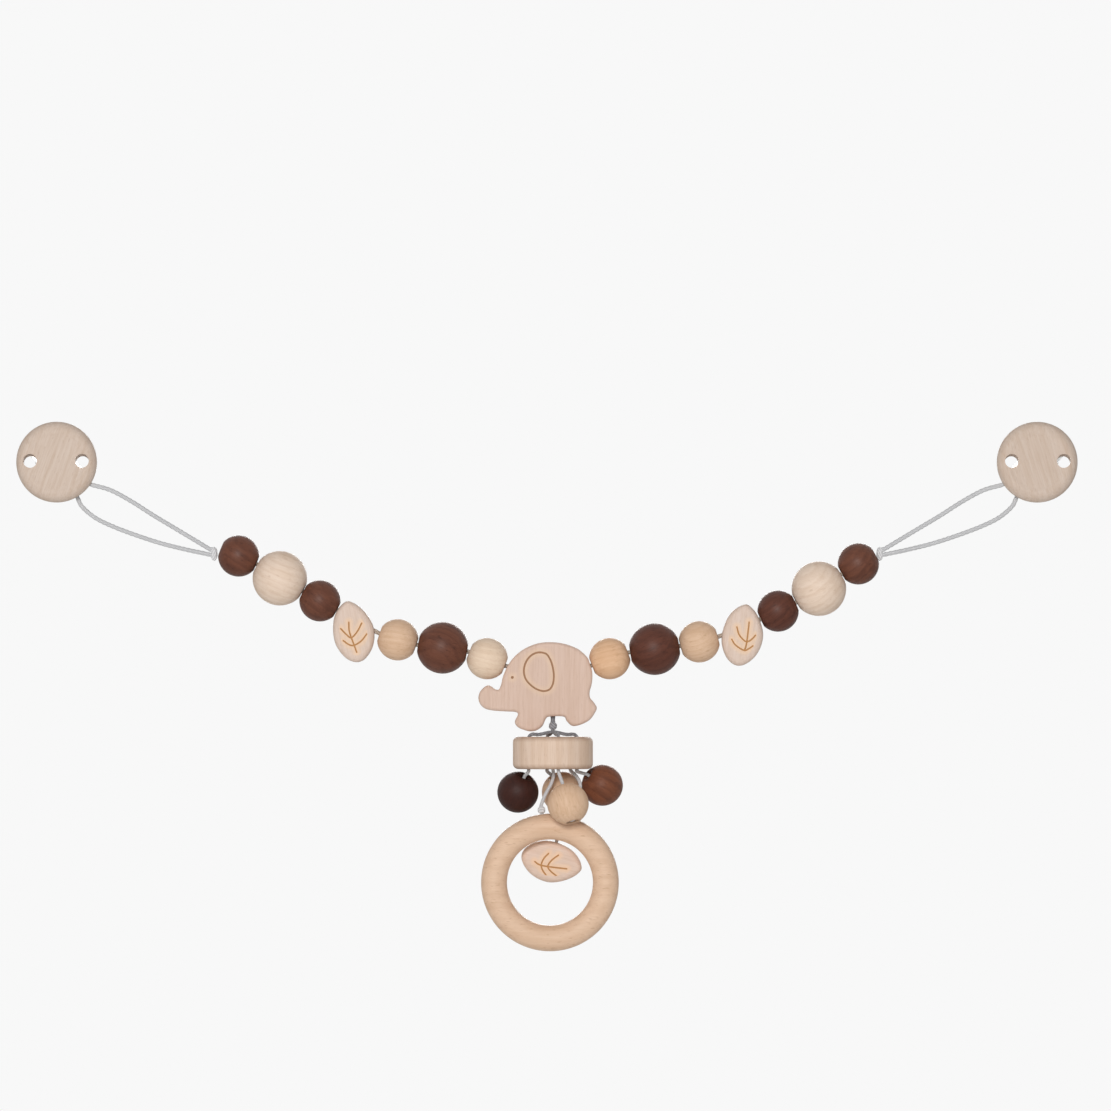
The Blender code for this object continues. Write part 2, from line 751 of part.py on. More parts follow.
def clip_jaw(side_name, frame):
    """The jaw plate with its bail at one end and two ears that hold the lever's pin."""
    name = side_name + "_clip_jaw"
    top = plate_top()
    low = top - PLATE_THICKNESS
    half = PLATE_WIDTH / 2
    plate = box_mesh(name, (-PLATE_JAW_REACH, low, -half), (PLATE_BAIL_REACH, top, half))
    jaw = add_piece(name, plate, "steel", parent=frame)
    for way in (-1, 1):
        outer = way * (half - UNION_SINK)
        inner = way * (half - BAIL_ARM_WIDTH)
        low_z, high_z = min(inner, outer), max(inner, outer)
        arm = box_mesh(
            name + "_arm",
            (PLATE_BAIL_REACH - BAIL_ARM_WIDTH, low + UNION_SINK, low_z),
            (BAIL_REACH + BAIL_RADIUS, BAIL_RADIUS, high_z),
        )
        join(jaw, add_helper(name + "_arm", arm, frame))
        ear_z = way * (half - EAR_THICKNESS - UNION_SINK)
        low_z, high_z = min(ear_z, outer), max(ear_z, outer)
        ear = box_mesh(
            name + "_ear",
            (-PIN_PLACE - EAR_WIDTH / 2, low + UNION_SINK, low_z),
            (-PIN_PLACE + EAR_WIDTH / 2, low + EAR_HEIGHT, high_z),
        )
        join(jaw, add_helper(name + "_ear", ear, frame))
    bar = rod_mesh(name + "_bail", BAIL_RADIUS - UNION_SINK, PLATE_WIDTH - BAIL_ARM_WIDTH)
    join(jaw, add_helper(name + "_bail", bar, frame, (BAIL_REACH, 0, 0)))
    bore = rod_mesh(name + "_pin_hole", PIN_RADIUS + CLEARANCE, PLATE_WIDTH + 2 * OVERRUN)
    cut(jaw, add_helper(name + "_pin_hole", bore, frame, (-PIN_PLACE, top + PIN_HEIGHT, 0)))
    for reach in SCREW_PLACES:
        hole = rod_mesh(name + "_hole", SCREW_RADIUS + CLEARANCE, PLATE_THICKNESS + 2 * OVERRUN)
        cut(jaw, add_helper(name + "_hole", hole, frame, (reach, low, 0), (math.radians(90), 0, 0)))
    pad_low = top + CLEARANCE
    half_pad = PAD_LENGTH / 2
    pad = box_mesh(
        side_name + "_jaw_pad",
        (-PIN_PLACE - half_pad, pad_low, -PAD_WIDTH / 2),
        (-PIN_PLACE + half_pad, pad_low + PAD_THICKNESS, PAD_WIDTH / 2),
    )
    add_piece(side_name + "_jaw_pad", pad, "plastic", parent=frame)


def clip_lever(side_name, frame):
    """The lever turns on the pin; its nose presses the cloth on the pad when it lies flat."""
    name = side_name + "_clip_lever"
    pin = plate_top() + PIN_HEIGHT
    handle_low = LEVER_KNUCKLE_RADIUS - LEVER_THICKNESS + 2 * UNION_SINK
    half = LEVER_WIDTH / 2
    handle = box_mesh(name, (0, handle_low, -half), (LEVER_REACH, handle_low + LEVER_THICKNESS, half))
    lever = add_piece(name, handle, "steel", parent=frame, place=(-PIN_PLACE, pin, 0))
    width = LEVER_WIDTH - 2 * UNION_SINK
    knuckle = rod_mesh(name + "_knuckle", LEVER_KNUCKLE_RADIUS, width, VENT_SIDES)
    join(lever, add_helper(name + "_knuckle", knuckle, frame, (-PIN_PLACE, pin, 0)))
    nose_drop = PIN_HEIGHT - 2 * CLEARANCE - PAD_THICKNESS - NOSE_RADIUS
    inset = half - 2 * UNION_SINK
    nose = box_mesh(name + "_nose", (-NOSE_RADIUS, -nose_drop, -inset), (NOSE_RADIUS, 0, inset))
    join(lever, add_helper(name + "_nose", nose, frame, (-PIN_PLACE, pin, 0)))
    tip = rod_mesh(name + "_tip", NOSE_RADIUS + UNION_SINK, LEVER_WIDTH - 6 * UNION_SINK)
    join(lever, add_helper(name + "_tip", tip, frame, (-PIN_PLACE, pin - nose_drop, 0)))
    bore = rod_mesh(name + "_bore", PIN_RADIUS + CLEARANCE, LEVER_WIDTH + 2 * OVERRUN)
    cut(lever, add_helper(name + "_bore", bore, frame, (-PIN_PLACE, pin, 0)))


def clip_pin(side_name, frame):
    """The riveted pin through both ears."""
    inner = PLATE_WIDTH / 2 + CLEARANCE
    outer = inner + PIN_HEAD_THICKNESS
    profile = [
        (0, outer),
        (PIN_HEAD_RADIUS, outer),
        (PIN_HEAD_RADIUS, inner),
        (PIN_RADIUS, inner),
        (PIN_RADIUS, -inner),
        (PIN_HEAD_RADIUS, -inner),
        (PIN_HEAD_RADIUS, -outer),
        (0, -outer),
    ]
    place = (-PIN_PLACE, plate_top() + PIN_HEIGHT, 0)
    turned_piece(side_name + "_clip_pin", profile, "steel", HOLE_SIDES, False, parent=frame, place=place)


def clip_screw(name, frame, reach):
    """A small screw that holds the jaw plate to the wooden disc."""
    profile = [
        (0, SCREW_HEAD_THICKNESS),
        (SCREW_HEAD_RADIUS, SCREW_HEAD_THICKNESS / 2),
        (SCREW_HEAD_RADIUS, 0),
        (SCREW_RADIUS, 0),
        (SCREW_RADIUS, -SCREW_LENGTH + 2 * CLEARANCE + SCREW_RADIUS),
        (0, -SCREW_LENGTH + 2 * CLEARANCE),
    ]
    place = (reach, plate_top() + CLEARANCE, 0)
    turned_piece(
        name, profile, "steel", HOLE_SIDES, False,
        parent=frame, place=place, turn=(math.radians(-90), 0, 0),
    )


def disc_hole(turn):
    """Where an outer hole of the pendant disc lies, by its turn from the right-hand one."""
    angle = math.radians(turn + DISC_HOLE_TURN)
    return Vector((DISC_HOLE_CIRCLE * math.cos(angle), DISC_HOLE_CIRCLE * math.sin(angle), 0))


def pendant_disc(axis):
    """The turned disc under the elephant, drilled for the cords that it hangs on and carries."""
    corner = DISC_RADIUS - DISC_EDGE_RADIUS
    half = DISC_THICKNESS / 2
    edge = half - DISC_EDGE_RADIUS
    profile = [
        (0, half),
        *arc((corner, edge), DISC_EDGE_RADIUS, 90, 0, 5),
        *arc((corner, -edge), DISC_EDGE_RADIUS, 0, -90, 5),
        (0, -half),
    ]
    place = axis + Vector((0, 0, -disc_drop() - half))
    disc = turned_piece("pendant_disc", profile, "pale", DISC_STEPS, False, place=place)
    holes = [disc_hole(turn) for turn in (0, 90, 180, 270)]
    holes += [Vector((0, 0, 0)), Vector((*LEAF_HOLE_PLACE, 0))]
    for hole in holes:
        drill = rod_mesh("disc_drill", DISC_HOLE_RADIUS, DISC_THICKNESS + 2 * OVERRUN)
        cut(disc, add_helper("disc_drill", drill, place=place + hole))


def sling(axis):
    """Two cords that cross under the gather knot and go down into the disc's four outer holes."""
    top = -gather_knot_drop() - GATHER_KNOT_RADIUS - CLEARANCE - THIN_CORD_RADIUS
    flat = -disc_drop() + CLEARANCE + THIN_CORD_RADIUS
    arms = []
    for turn in (0, 90):
        out = disc_hole(turn)
        heights = ((0, top), (SLING_FLAT_RADIUS / DISC_HOLE_CIRCLE, flat))
        half = [out * share + Vector((0, 0, z)) for share, z in heights]
        bend = 2 * THIN_CORD_RADIUS
        half.append(out * (1 - bend / DISC_HOLE_CIRCLE) + Vector((0, 0, flat)))
        half.append(out + Vector((0, 0, flat - bend)))
        half.append(out + Vector((0, 0, flat - 2 * bend)))
        other = [Vector((-x, -y, z)) for x, y, z in half]
        path = smooth_points([*reversed(other), *half[1:]], 2)
        arms.append([axis + point for point in path])
    tubes = [welded_mesh(cord_piece("disc_sling", arm, THIN_CORD_RADIUS)) for arm in arms]
    join(add_piece("disc_sling", tubes[0], "cord"), add_helper("disc_sling_crossing", tubes[1]))


def hanging_cords(axis):
    """The cord out of the elephant's belly, the gather knot under it and the sling over the disc."""
    mouth = axis + Vector((0, 0, -belly_drop()))
    top = mouth + Vector((0, 0, HANGING_CORD_DEPTH))
    bottom = axis + Vector((0, 0, -gather_knot_drop() + GATHER_KNOT_RADIUS + CLEARANCE))
    cord_piece("hanging_cord", [top, (top + bottom) / 2, bottom], HANGING_CORD_RADIUS, mouth)
    shape = bmesh.new()
    bmesh.ops.create_uvsphere(shape, u_segments=12, v_segments=8, radius=GATHER_KNOT_RADIUS)
    mesh = bmesh_to_mesh("gather_knot", shape)
    add_piece("gather_knot", mesh, "cord", place=axis + Vector((0, 0, -gather_knot_drop())))
    sling(axis)


def pendant_bead(name, wood, turn, offset, base):
    """A bead under the disc, on a cord with a knot hidden in the recess at its far end."""
    hole = base + disc_hole(turn)
    centre = base + Vector(offset)
    reach = centre - hole
    direction = (reach + Vector((0, 0, -THIN_CORD_RADIUS))).normalized()
    half = bead_half_length(SMALL_BEAD_RADIUS)
    bead(f"pendant_{name}_bead", SMALL_BEAD_RADIUS, PENDANT_BORE_RADIUS, wood, centre, -direction, True)
    knot = half - KNOT_RECESS_DEPTH + CLEARANCE
    route = [hole + Vector((0, 0, height)) for height in (STRAND_DEPTH, 0, -STRAND_DROP)]
    route.append(centre - direction * (half + CLEARANCE))
    bent = smooth_points(route, 2)[:-1]
    inside = [-half / 2, 0, knot - END_KNOT_RADIUS / 2, knot + END_KNOT_RADIUS / 2, half - CLEARANCE]
    points = bent + [centre + direction * step for step in inside]
    swell = END_KNOT_RADIUS / THIN_CORD_RADIUS
    swells = [1] * (len(points) - 3) + [1, swell, swell / 2]
    cord_piece(f"pendant_{name}_cord", points, THIN_CORD_RADIUS, hole, swells)


def ring_centre():
    """The ring's centre from the middle of the disc's underside."""
    return Vector(RING_TOP) - Vector((0, 0, RING_RADIUS))


def ring_and_cord(base):
    """The teething ring, its cord from the disc's centre hole and the knot on top of the ring."""
    centre = base + ring_centre()
    turn = math.radians(RING_HOLE_TURN)
    up = Vector((-math.sin(turn), 0, math.cos(turn)))
    bpy.ops.mesh.primitive_torus_add(
        major_radius=RING_RADIUS - RING_TUBE_RADIUS,
        minor_radius=RING_TUBE_RADIUS,
        major_segments=RING_STEPS,
        minor_segments=RING_TUBE_SIDES,
    )
    blank = bpy.context.object
    mesh = blank.data
    mesh.transform(Matrix.Rotation(math.radians(90), 4, "X"))
    bpy.data.objects.remove(blank, do_unlink=True)
    knot = centre + up * (RING_RADIUS + CLEARANCE + RING_KNOT_RADIUS)
    mesh.transform(Matrix.Translation(centre - knot))
    ring = add_piece("teething_ring", mesh, "beech", place=knot)
    drill = rod_mesh("ring_drill", RING_HOLE_RADIUS, 2 * RING_HOLE_DEPTH)
    cut(ring, add_helper("ring_drill", drill, place=centre + up * RING_RADIUS, turn=along(up)))
    stub = RING_KNOT_RADIUS + RING_HOLE_DEPTH
    lower = math.degrees(math.acos(THIN_CORD_RADIUS / RING_KNOT_RADIUS))
    profile = [
        (0, RING_KNOT_RADIUS),
        *arc((0, 0), RING_KNOT_RADIUS, 60, -lower, 6),
        (THIN_CORD_RADIUS, -stub),
        (0, -stub),
    ]
    turned_piece("ring_knot", profile, "cord", HOLE_SIDES, False, place=knot, turn=along(up))
    route = [base + Vector(point) for point in RING_CORD_POINTS]
    route.append(knot + up * (RING_KNOT_RADIUS + CLEARANCE))
    cord_piece("ring_cord", smooth_points(route, 2), THIN_CORD_RADIUS, base)


def hanging_leaf(base):
    """The leaf behind the ring, on a cord that passes down between the beads."""
    tilt = math.radians(HANGING_LEAF_TILT)
    centre = base + Vector(HANGING_LEAF_CENTRE)
    up = Vector((math.sin(tilt), 0, math.cos(tilt)))
    half = LEAF_WIDTH / 2
    top = centre + up * half
    bottom = centre - up * half
    leaf("hanging_leaf", centre, math.radians(90) + tilt, bottom, top, PENDANT_BORE_RADIUS)
    route = [base + Vector(point) for point in LEAF_CORD_POINTS]
    route += [top + up * CLEARANCE, centre, bottom + up * LEAF_EDGE_RADIUS]
    bent = smooth_points(route[:-1], 2)
    hole = base + Vector((*LEAF_HOLE_PLACE, 0))
    cord_piece("leaf_cord", [*bent[:-2], *route[-2:]], THIN_CORD_RADIUS, hole)


def build_toy():
    left_places = chain_places("left", -1, LEFT_CHAIN)
    right_places = chain_places("right", 1, RIGHT_CHAIN)
    left_knot = left_places[-1]
    right_knot = right_places[-1]
    left_points = chain_side("left", -1, LEFT_CHAIN, left_places)
    right_points = chain_side("right", 1, RIGHT_CHAIN, right_places)
    elephant()
    main_cord(left_points, right_points, bail_place(-1, left_knot))
    clips = []
    for side_name, side, knot in (("left", -1, left_knot), ("right", 1, right_knot)):
        end_knot(side_name, knot)
        loop_cord(side_name, side, knot)
        clips.append(clip(side_name, side, knot + Vector((side * CLIP_OUTWARD, 0, CLIP_RISE))))
    axis = pendant_axis()
    base = axis + Vector((0, 0, -disc_drop() - DISC_THICKNESS))
    pendant_disc(axis)
    hanging_cords(axis)
    for name, (wood, turn, offset) in PENDANT_BEADS.items():
        pendant_bead(name, wood, turn, offset, base)
    ring_and_cord(base)
    hanging_leaf(base)
    jaw_gap = plate_top() + 2 * CLEARANCE + PAD_THICKNESS
    jaw = clips[0].rotation_euler.to_matrix() @ Vector((-PIN_PLACE, jaw_gap, 0))
    TOY_FRAME.location = -(clips[0].location + jaw)


clear_scene()
TOY = new_collection("pram_chain_toy")
CUTTERS = new_collection("cutters")
TOY_FRAME = bpy.data.objects.new("toy_frame", None)
TOY.objects.link(TOY_FRAME)
build_toy()
for made in TOY.objects:
    if made.type == "MESH":
        made.data.shade_smooth()
        made.data.set_sharp_from_angle(angle=math.radians(SHARP_ANGLE))
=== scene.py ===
"""Looks for a wooden pram chain toy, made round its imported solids.

Metres. +X runs along the chain, +Y away from the camera and +Z up.
"""

import json
import math

import bpy
import numpy as np
from mathutils import Matrix, Vector
from mathutils.geometry import delaunay_2d_cdt

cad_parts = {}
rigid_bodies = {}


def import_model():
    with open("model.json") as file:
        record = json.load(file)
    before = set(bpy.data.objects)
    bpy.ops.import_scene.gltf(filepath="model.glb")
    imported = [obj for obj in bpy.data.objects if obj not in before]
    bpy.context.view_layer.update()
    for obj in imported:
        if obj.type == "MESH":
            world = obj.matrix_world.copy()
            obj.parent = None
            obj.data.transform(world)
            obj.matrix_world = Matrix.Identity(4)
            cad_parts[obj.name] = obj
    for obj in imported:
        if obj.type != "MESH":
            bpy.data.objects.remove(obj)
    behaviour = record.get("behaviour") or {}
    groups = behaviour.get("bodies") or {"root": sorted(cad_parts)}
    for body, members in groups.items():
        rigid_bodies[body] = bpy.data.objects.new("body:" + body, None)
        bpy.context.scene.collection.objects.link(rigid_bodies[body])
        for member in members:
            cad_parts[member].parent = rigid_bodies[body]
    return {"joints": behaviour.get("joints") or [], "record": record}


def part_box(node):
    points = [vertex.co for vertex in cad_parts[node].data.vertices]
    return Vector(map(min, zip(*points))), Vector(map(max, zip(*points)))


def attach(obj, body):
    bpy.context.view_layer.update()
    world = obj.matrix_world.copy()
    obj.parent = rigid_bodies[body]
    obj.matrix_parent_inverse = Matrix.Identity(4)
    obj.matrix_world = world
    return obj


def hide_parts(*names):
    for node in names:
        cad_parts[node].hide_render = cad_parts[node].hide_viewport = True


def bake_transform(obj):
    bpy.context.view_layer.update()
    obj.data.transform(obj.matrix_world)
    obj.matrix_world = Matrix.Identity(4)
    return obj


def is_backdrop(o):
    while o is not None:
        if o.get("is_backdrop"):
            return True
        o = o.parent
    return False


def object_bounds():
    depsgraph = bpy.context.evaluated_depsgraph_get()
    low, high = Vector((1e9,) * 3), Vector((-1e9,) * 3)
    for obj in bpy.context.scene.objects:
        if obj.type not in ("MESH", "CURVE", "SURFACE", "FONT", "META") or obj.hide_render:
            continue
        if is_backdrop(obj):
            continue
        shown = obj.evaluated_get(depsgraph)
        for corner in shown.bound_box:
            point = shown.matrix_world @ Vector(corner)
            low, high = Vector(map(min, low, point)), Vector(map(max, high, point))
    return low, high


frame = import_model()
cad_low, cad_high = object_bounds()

# Sizes that the part's source gives its solids, in metres
CLEARANCE = 0.0003
BEAD_RADII = {"small": 0.0091, "middle": 0.0114, "large": 0.012}
BEAD_END_RADIUS = 0.0035
BORE_RADIUS = 0.0019
MOUTH_RADIUS = 0.0025
MOUTH_DEPTH = 0.0006
CORD_RADIUS = 0.00095
LEAF_LENGTH = 0.0275
LEAF_WIDTH = 0.0184
LEAF_THICKNESS = 0.011
LEAF_EDGE_RADIUS = 0.0025
LEAF_DROPS = {"left": 0.0049, "right": 0.0038}
LEAF_OUTWARDS = {"left": 0.0023, "right": 0.0018}
LEAF_LEANS = {"left": 11, "right": 8}
ELEPHANT_LENGTH = 0.0518
BORE_DROP_SHARE = 0.0695
ELEPHANT_THICKNESS = 0.012
ELEPHANT_EDGE_RADIUS = 0.0015
BELLY_HOLE_RADIUS = 0.00175
BELLY_HOLE_DEPTH = 0.0038
BELLY_SHARE = 0.4923
EYE_RADIUS = 0.0006
EYE_DEPTH = 0.0006
KNOT_LENGTH = 0.003
KNOT_HEIGHT = 0.0062
LOOP_SPREAD = 0.0023
LOOP_LIFT = 0.0008
CLIP_OUTWARD = 0.069
CLIP_RISE = 0.0402
CLIP_SLANT = 47
CLIP_RADIUS = 0.01775
CLIP_THICKNESS = 0.0055
CLIP_FACE_RADIUS = 0.0132
CLIP_BACK_EDGE = 0.0008
CLIP_FORWARD = 0.0033
VENT_RADIUS = 0.003
VENT_OFFSET = 0.0114
PLATE_THICKNESS = 0.0008
PLATE_WIDTH = 0.0132
PLATE_JAW_REACH = 0.011
PLATE_BAIL_REACH = 0.008
BAIL_REACH = 0.015
BAIL_RADIUS = 0.0008
BAIL_ARM_WIDTH = 0.001
BEND_RADIUS = 0.004
EAR_THICKNESS = 0.0007
EAR_WIDTH = 0.005
EAR_HEIGHT = 0.0072
PIN_RADIUS = 0.00075
PIN_HEAD_RADIUS = 0.0013
PIN_HEAD_THICKNESS = 0.0005
PIN_PLACE = 0.0055
PIN_HEIGHT = 0.0046
LEVER_WIDTH = 0.0104
LEVER_REACH = 0.0125
LEVER_THICKNESS = 0.0008
LEVER_KNUCKLE_RADIUS = 0.0019
NOSE_RADIUS = 0.0012
PAD_LENGTH = 0.007
PAD_WIDTH = 0.010
PAD_THICKNESS = 0.0009
SCREW_RADIUS = 0.0009
SCREW_HEAD_RADIUS = 0.0018
SCREW_HEAD_THICKNESS = 0.0009
SCREW_LENGTH = 0.0046
SCREW_PLACES = (0.0002, 0.0054)
PENDANT_SHARE = 0.035
FOOT_SHARE = 0.617
HANGING_CORD_RADIUS = 0.001
HANGING_CORD_DEPTH = 0.0033
GATHER_KNOT_RADIUS = 0.0016
GATHER_KNOT_DROP = 0.0041
THIN_CORD_RADIUS = 0.00075
SLING_FLAT_RADIUS = 0.006
DISC_RADIUS = 0.0176
DISC_THICKNESS = 0.0142
DISC_EDGE_RADIUS = 0.0024
DISC_GAP = 0.0024
DISC_HOLE_CIRCLE = 0.011
DISC_HOLE_TURN = 13
DISC_HOLE_RADIUS = 0.00135
STRAND_DEPTH = 0.001
STRAND_DROP = 0.0011
PENDANT_BORE_RADIUS = 0.0014
KNOT_RECESS_RADIUS = 0.0027
KNOT_RECESS_DEPTH = 0.0032
END_KNOT_RADIUS = 0.0021
RING_RADIUS = 0.0303
RING_TUBE_RADIUS = 0.0057
RING_TOP = (-0.0013, 0, -0.0196)
RING_HOLE_TURN = 6.65
RING_HOLE_RADIUS = 0.0012
RING_HOLE_DEPTH = 0.0065
RING_KNOT_RADIUS = 0.0015
LEAF_HOLE_PLACE = (0.0077, 0.0064)
HANGING_LEAF_CENTRE = (-0.0006, 0.0119, -0.0412)
HANGING_LEAF_TILT = 13.6

# Outlines and cord routes, repeated from the part's source
LEAF_SHARES = (
    (0.0, 1.0), (0.24, 0.92), (0.47, 0.78), (0.69, 0.58), (0.87, 0.34), (0.98, 0.09),
    (0.98, -0.16), (0.90, -0.40), (0.75, -0.62), (0.54, -0.80), (0.33, -0.92), (0.12, -0.99),
    (-0.12, -1.0), (-0.36, -0.94), (-0.60, -0.81), (-0.81, -0.60), (-0.96, -0.34), (-1.0, -0.08),
    (-0.96, 0.19), (-0.86, 0.45), (-0.69, 0.68), (-0.46, 0.85), (-0.22, 0.96),
)
ELEPHANT_SHARES = (
    (-0.516, -0.227), (-0.549, -0.244), (-0.582, -0.280), (-0.597, -0.331), (-0.583, -0.384),
    (-0.541, -0.424), (-0.470, -0.441), (-0.370, -0.448), (-0.284, -0.453), (-0.262, -0.474),
    (-0.288, -0.535), (-0.267, -0.578), (-0.219, -0.602), (-0.162, -0.617), (-0.105, -0.609),
    (-0.055, -0.573), (-0.022, -0.507), (0.012, -0.492), (0.125, -0.492), (0.152, -0.530),
    (0.200, -0.571), (0.272, -0.560), (0.347, -0.520), (0.392, -0.459), (0.407, -0.415),
    (0.378, -0.366), (0.350, -0.330), (0.347, -0.280), (0.360, -0.235), (0.369, -0.182),
    (0.368, -0.110), (0.349, -0.044), (0.325, 0.012), (0.249, 0.080), (0.137, 0.124),
    (0.025, 0.139), (-0.088, 0.130), (-0.200, 0.087), (-0.289, 0.019), (-0.349, -0.063),
    (-0.388, -0.152), (-0.406, -0.226), (-0.427, -0.264), (-0.461, -0.256), (-0.487, -0.236),
)
EYE_SHARES = (-0.309, -0.160)
EAR_SHARES = (
    (-0.078, 0.052), (-0.134, 0.036), (-0.176, -0.002), (-0.202, -0.052), (-0.211, -0.112),
    (-0.196, -0.172), (-0.158, -0.220), (-0.106, -0.258), (-0.046, -0.276), (0.006, -0.262),
    (0.034, -0.218), (0.043, -0.158), (0.037, -0.090), (0.018, -0.022), (-0.018, 0.036),
)
UPPER_STRAND = (
    (0.0063, -0.0003, 0.0047), (0.0163, -0.0008, 0.0107), (0.0265, -0.0012, 0.0168),
    (0.0364, -0.0016, 0.0231), (0.0456, -0.0019, 0.028),
)
LOWER_STRAND = (
    (0.0053, 0.0002, 0.0004), (0.0124, 0.0004, 0.0019), (0.0229, 0.0007, 0.0045),
    (0.0335, 0.0011, 0.0079), (0.0442, 0.0015, 0.0119), (0.0524, 0.0018, 0.0159),
    (0.0583, 0.002, 0.0209),
)
RING_CORD_POINTS = (
    (0, 0, 0.003), (0, 0, 0), (0.0003, 0, -0.003), (-0.0008, 0, -0.0065),
    (-0.0023, 0, -0.0093), (-0.0036, 0, -0.0118),
)
LEAF_CORD_POINTS = (
    (0.0077, 0.0064, 0.003), (0.0077, 0.0064, -0.0004), (0.0102, 0.005, -0.003),
    (0.0121, 0.0035, -0.0068), (0.0112, 0.0033, -0.0112), (0.0085, 0.0045, -0.0168),
    (0.0056, 0.0072, -0.0225), (0.0035, 0.0102, -0.0272),
)

# Each bead's size and wood, outwards from the elephant
LEFT_CHAIN = (
    ("small", "cream"), ("middle", "walnut"), ("small", "natural"),
    ("small", "walnut"), ("large", "pale"), ("small", "walnut"),
)
RIGHT_CHAIN = (
    ("small", "honey"), ("middle", "red_walnut"), ("small", "natural"),
    ("small", "red_walnut"), ("large", "pale"), ("small", "walnut"),
)
PENDANT_BEADS = {
    # The left bead's wood is walnut painted darker, as the shade it hangs in under the disc
    "left": ("walnut_painted_in_shade", 180, (-0.0154, 0.003, -0.0102)),
    "right": ("warm_walnut", 0, (0.0218, 0.0075, -0.0072)),
    "front": ("natural", 270, (0.0066, -0.0145, -0.0151)),
    "back": ("natural", 90, (0.0042, 0.0142, -0.0103)),
}

# Engraved veins, as shares of half a leaf's width and half its length
LEFT_VEINS = (
    ((-0.13, 0.32), (-0.19, 0.06), (-0.16, -0.17), (-0.11, -0.36), (-0.03, -0.69)),
    ((-0.58, 0.165), (-0.36, -0.06), (-0.15, -0.19), (0.19, -0.03), (0.48, 0.21)),
    ((-0.57, -0.23), (-0.36, -0.38), (-0.12, -0.45), (0.28, -0.36), (0.63, -0.16)),
)
RIGHT_VEINS = (
    ((0.21, 0.44), (0.23, -0.12), (0.21, -0.39), (0.15, -0.49)),
    ((-0.35, 0.23), (-0.20, 0.0), (0.02, -0.14), (0.23, -0.20), (0.44, -0.11), (0.61, 0.05)),
    ((-0.52, -0.19), (-0.29, -0.36), (0.15, -0.49), (0.36, -0.42), (0.56, -0.30)),
)
HANGING_VEINS = (
    ((0.153, -0.538), (0.255, -0.357), (0.231, -0.006), (0.136, 0.529)),
    ((-0.393, -0.159), (-0.10, -0.27), (0.236, -0.305), (0.48, -0.22), (0.681, -0.068)),
    ((-0.426, 0.165), (-0.10, -0.01), (0.236, -0.087), (0.44, 0.05), (0.597, 0.274)),
)
VEIN_WIDTH = 0.0007
VEIN_DEPTH = 0.00028
EAR_LINE_WIDTH = 0.00085
EAR_LINE_DEPTH = 0.0003

TAU = 2 * math.pi
SIDEWAYS, DEPTH, UP = WORLD_AXES = np.eye(3)
SHARP_ANGLE = math.radians(38)
BEAD_SEGMENTS = 80
DISC_SEGMENTS = 120
POLE_RADIUS = 0.0004

JOINTS = {joint["name"]: joint for joint in frame["joints"]}
BODIES = frame["record"]["behaviour"]["bodies"]
BODY_OF = {node: body for body, nodes in BODIES.items() for node in nodes}


def unit(vector):
    vector = np.asarray(vector, float)
    return vector / np.linalg.norm(vector, axis=-1, keepdims=True)


def joint_place(name):
    return np.array(JOINTS[name]["pos_m"], float)


def box_centre(node):
    return np.mean(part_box(node), axis=0)


def axes_along(direction, across=DEPTH):
    """Three axes as rows: two across the direction, then the direction itself."""
    third = unit(direction)
    first = unit(np.cross(across, third))
    return np.array([first, np.cross(third, first), third])


def turned_axes(degrees):
    """The axes of a board that is turned about Y: its width, its depth and its length."""
    angle = math.radians(degrees)
    width = (math.cos(angle), 0, -math.sin(angle))
    return np.array([width, DEPTH, (math.sin(angle), 0, math.cos(angle))])


# Curves


def full_turn(count):
    return np.linspace(0, TAU, count, endpoint=False)


def catmull_rom(points, steps, closed=False):
    """Each span between two given points is the cubic whose slopes run between their neighbours."""
    nodes = np.asarray(points, float)
    if closed:
        nodes = np.vstack([nodes[-1:], nodes, nodes[:2]])
    else:
        nodes = np.vstack([2 * nodes[:1] - nodes[1:2], nodes, 2 * nodes[-1:] - nodes[-2:-1]])
    a, b, c, d = (nodes[i : len(nodes) - 3 + i, None] for i in range(4))
    t = (np.arange(steps) / steps)[None, :, None]
    cubic = (3 * b - a - 3 * c + d) * t**3
    squared = (2 * a - 5 * b + 4 * c - d) * t**2
    spans = ((2 * b + (c - a) * t + squared + cubic) / 2).reshape(-1, nodes.shape[1])
    return spans if closed else np.vstack([spans, nodes[-2:-1]])


def distances_along(line):
    return np.concatenate([[0], np.cumsum(np.linalg.norm(np.diff(line, axis=0), axis=1))])


def even_steps(points, spacing, closed=False):
    """The same line, with points at even distances along it."""
    points = np.asarray(points, float)
    if closed:
        points = np.vstack([points, points[:1]])
    reach = distances_along(points)
    count = max(int(round(reach[-1] / spacing)), 3)
    wanted = np.linspace(0, reach[-1], count + 1)
    if closed:
        wanted = wanted[:-1]
    return np.stack([np.interp(wanted, reach, column) for column in points.T], axis=1)


def eased(points, radius, steps=5, closed=True):
    """Each corner becomes the parabola that leaves both its sides a radius away from it."""
    points = np.asarray(points, float)
    sides = [np.roll(points, way, axis=0) - points for way in (1, -1)]
    lengths = [np.linalg.norm(side, axis=1, keepdims=True) for side in sides]
    reach = np.minimum(radius, 0.45 * np.minimum(*lengths))
    start, end = ((points + side / length * reach)[:, None] for side, length in zip(sides, lengths))
    t = np.linspace(0, 1, steps)[None, :, None]
    corner = start * (1 - t) ** 2 + points[:, None] * 2 * t * (1 - t) + end * t**2
    if closed:
        return corner.reshape(-1, points.shape[1])
    return np.vstack([points[:1], corner[1:-1].reshape(-1, points.shape[1]), points[-1:]])


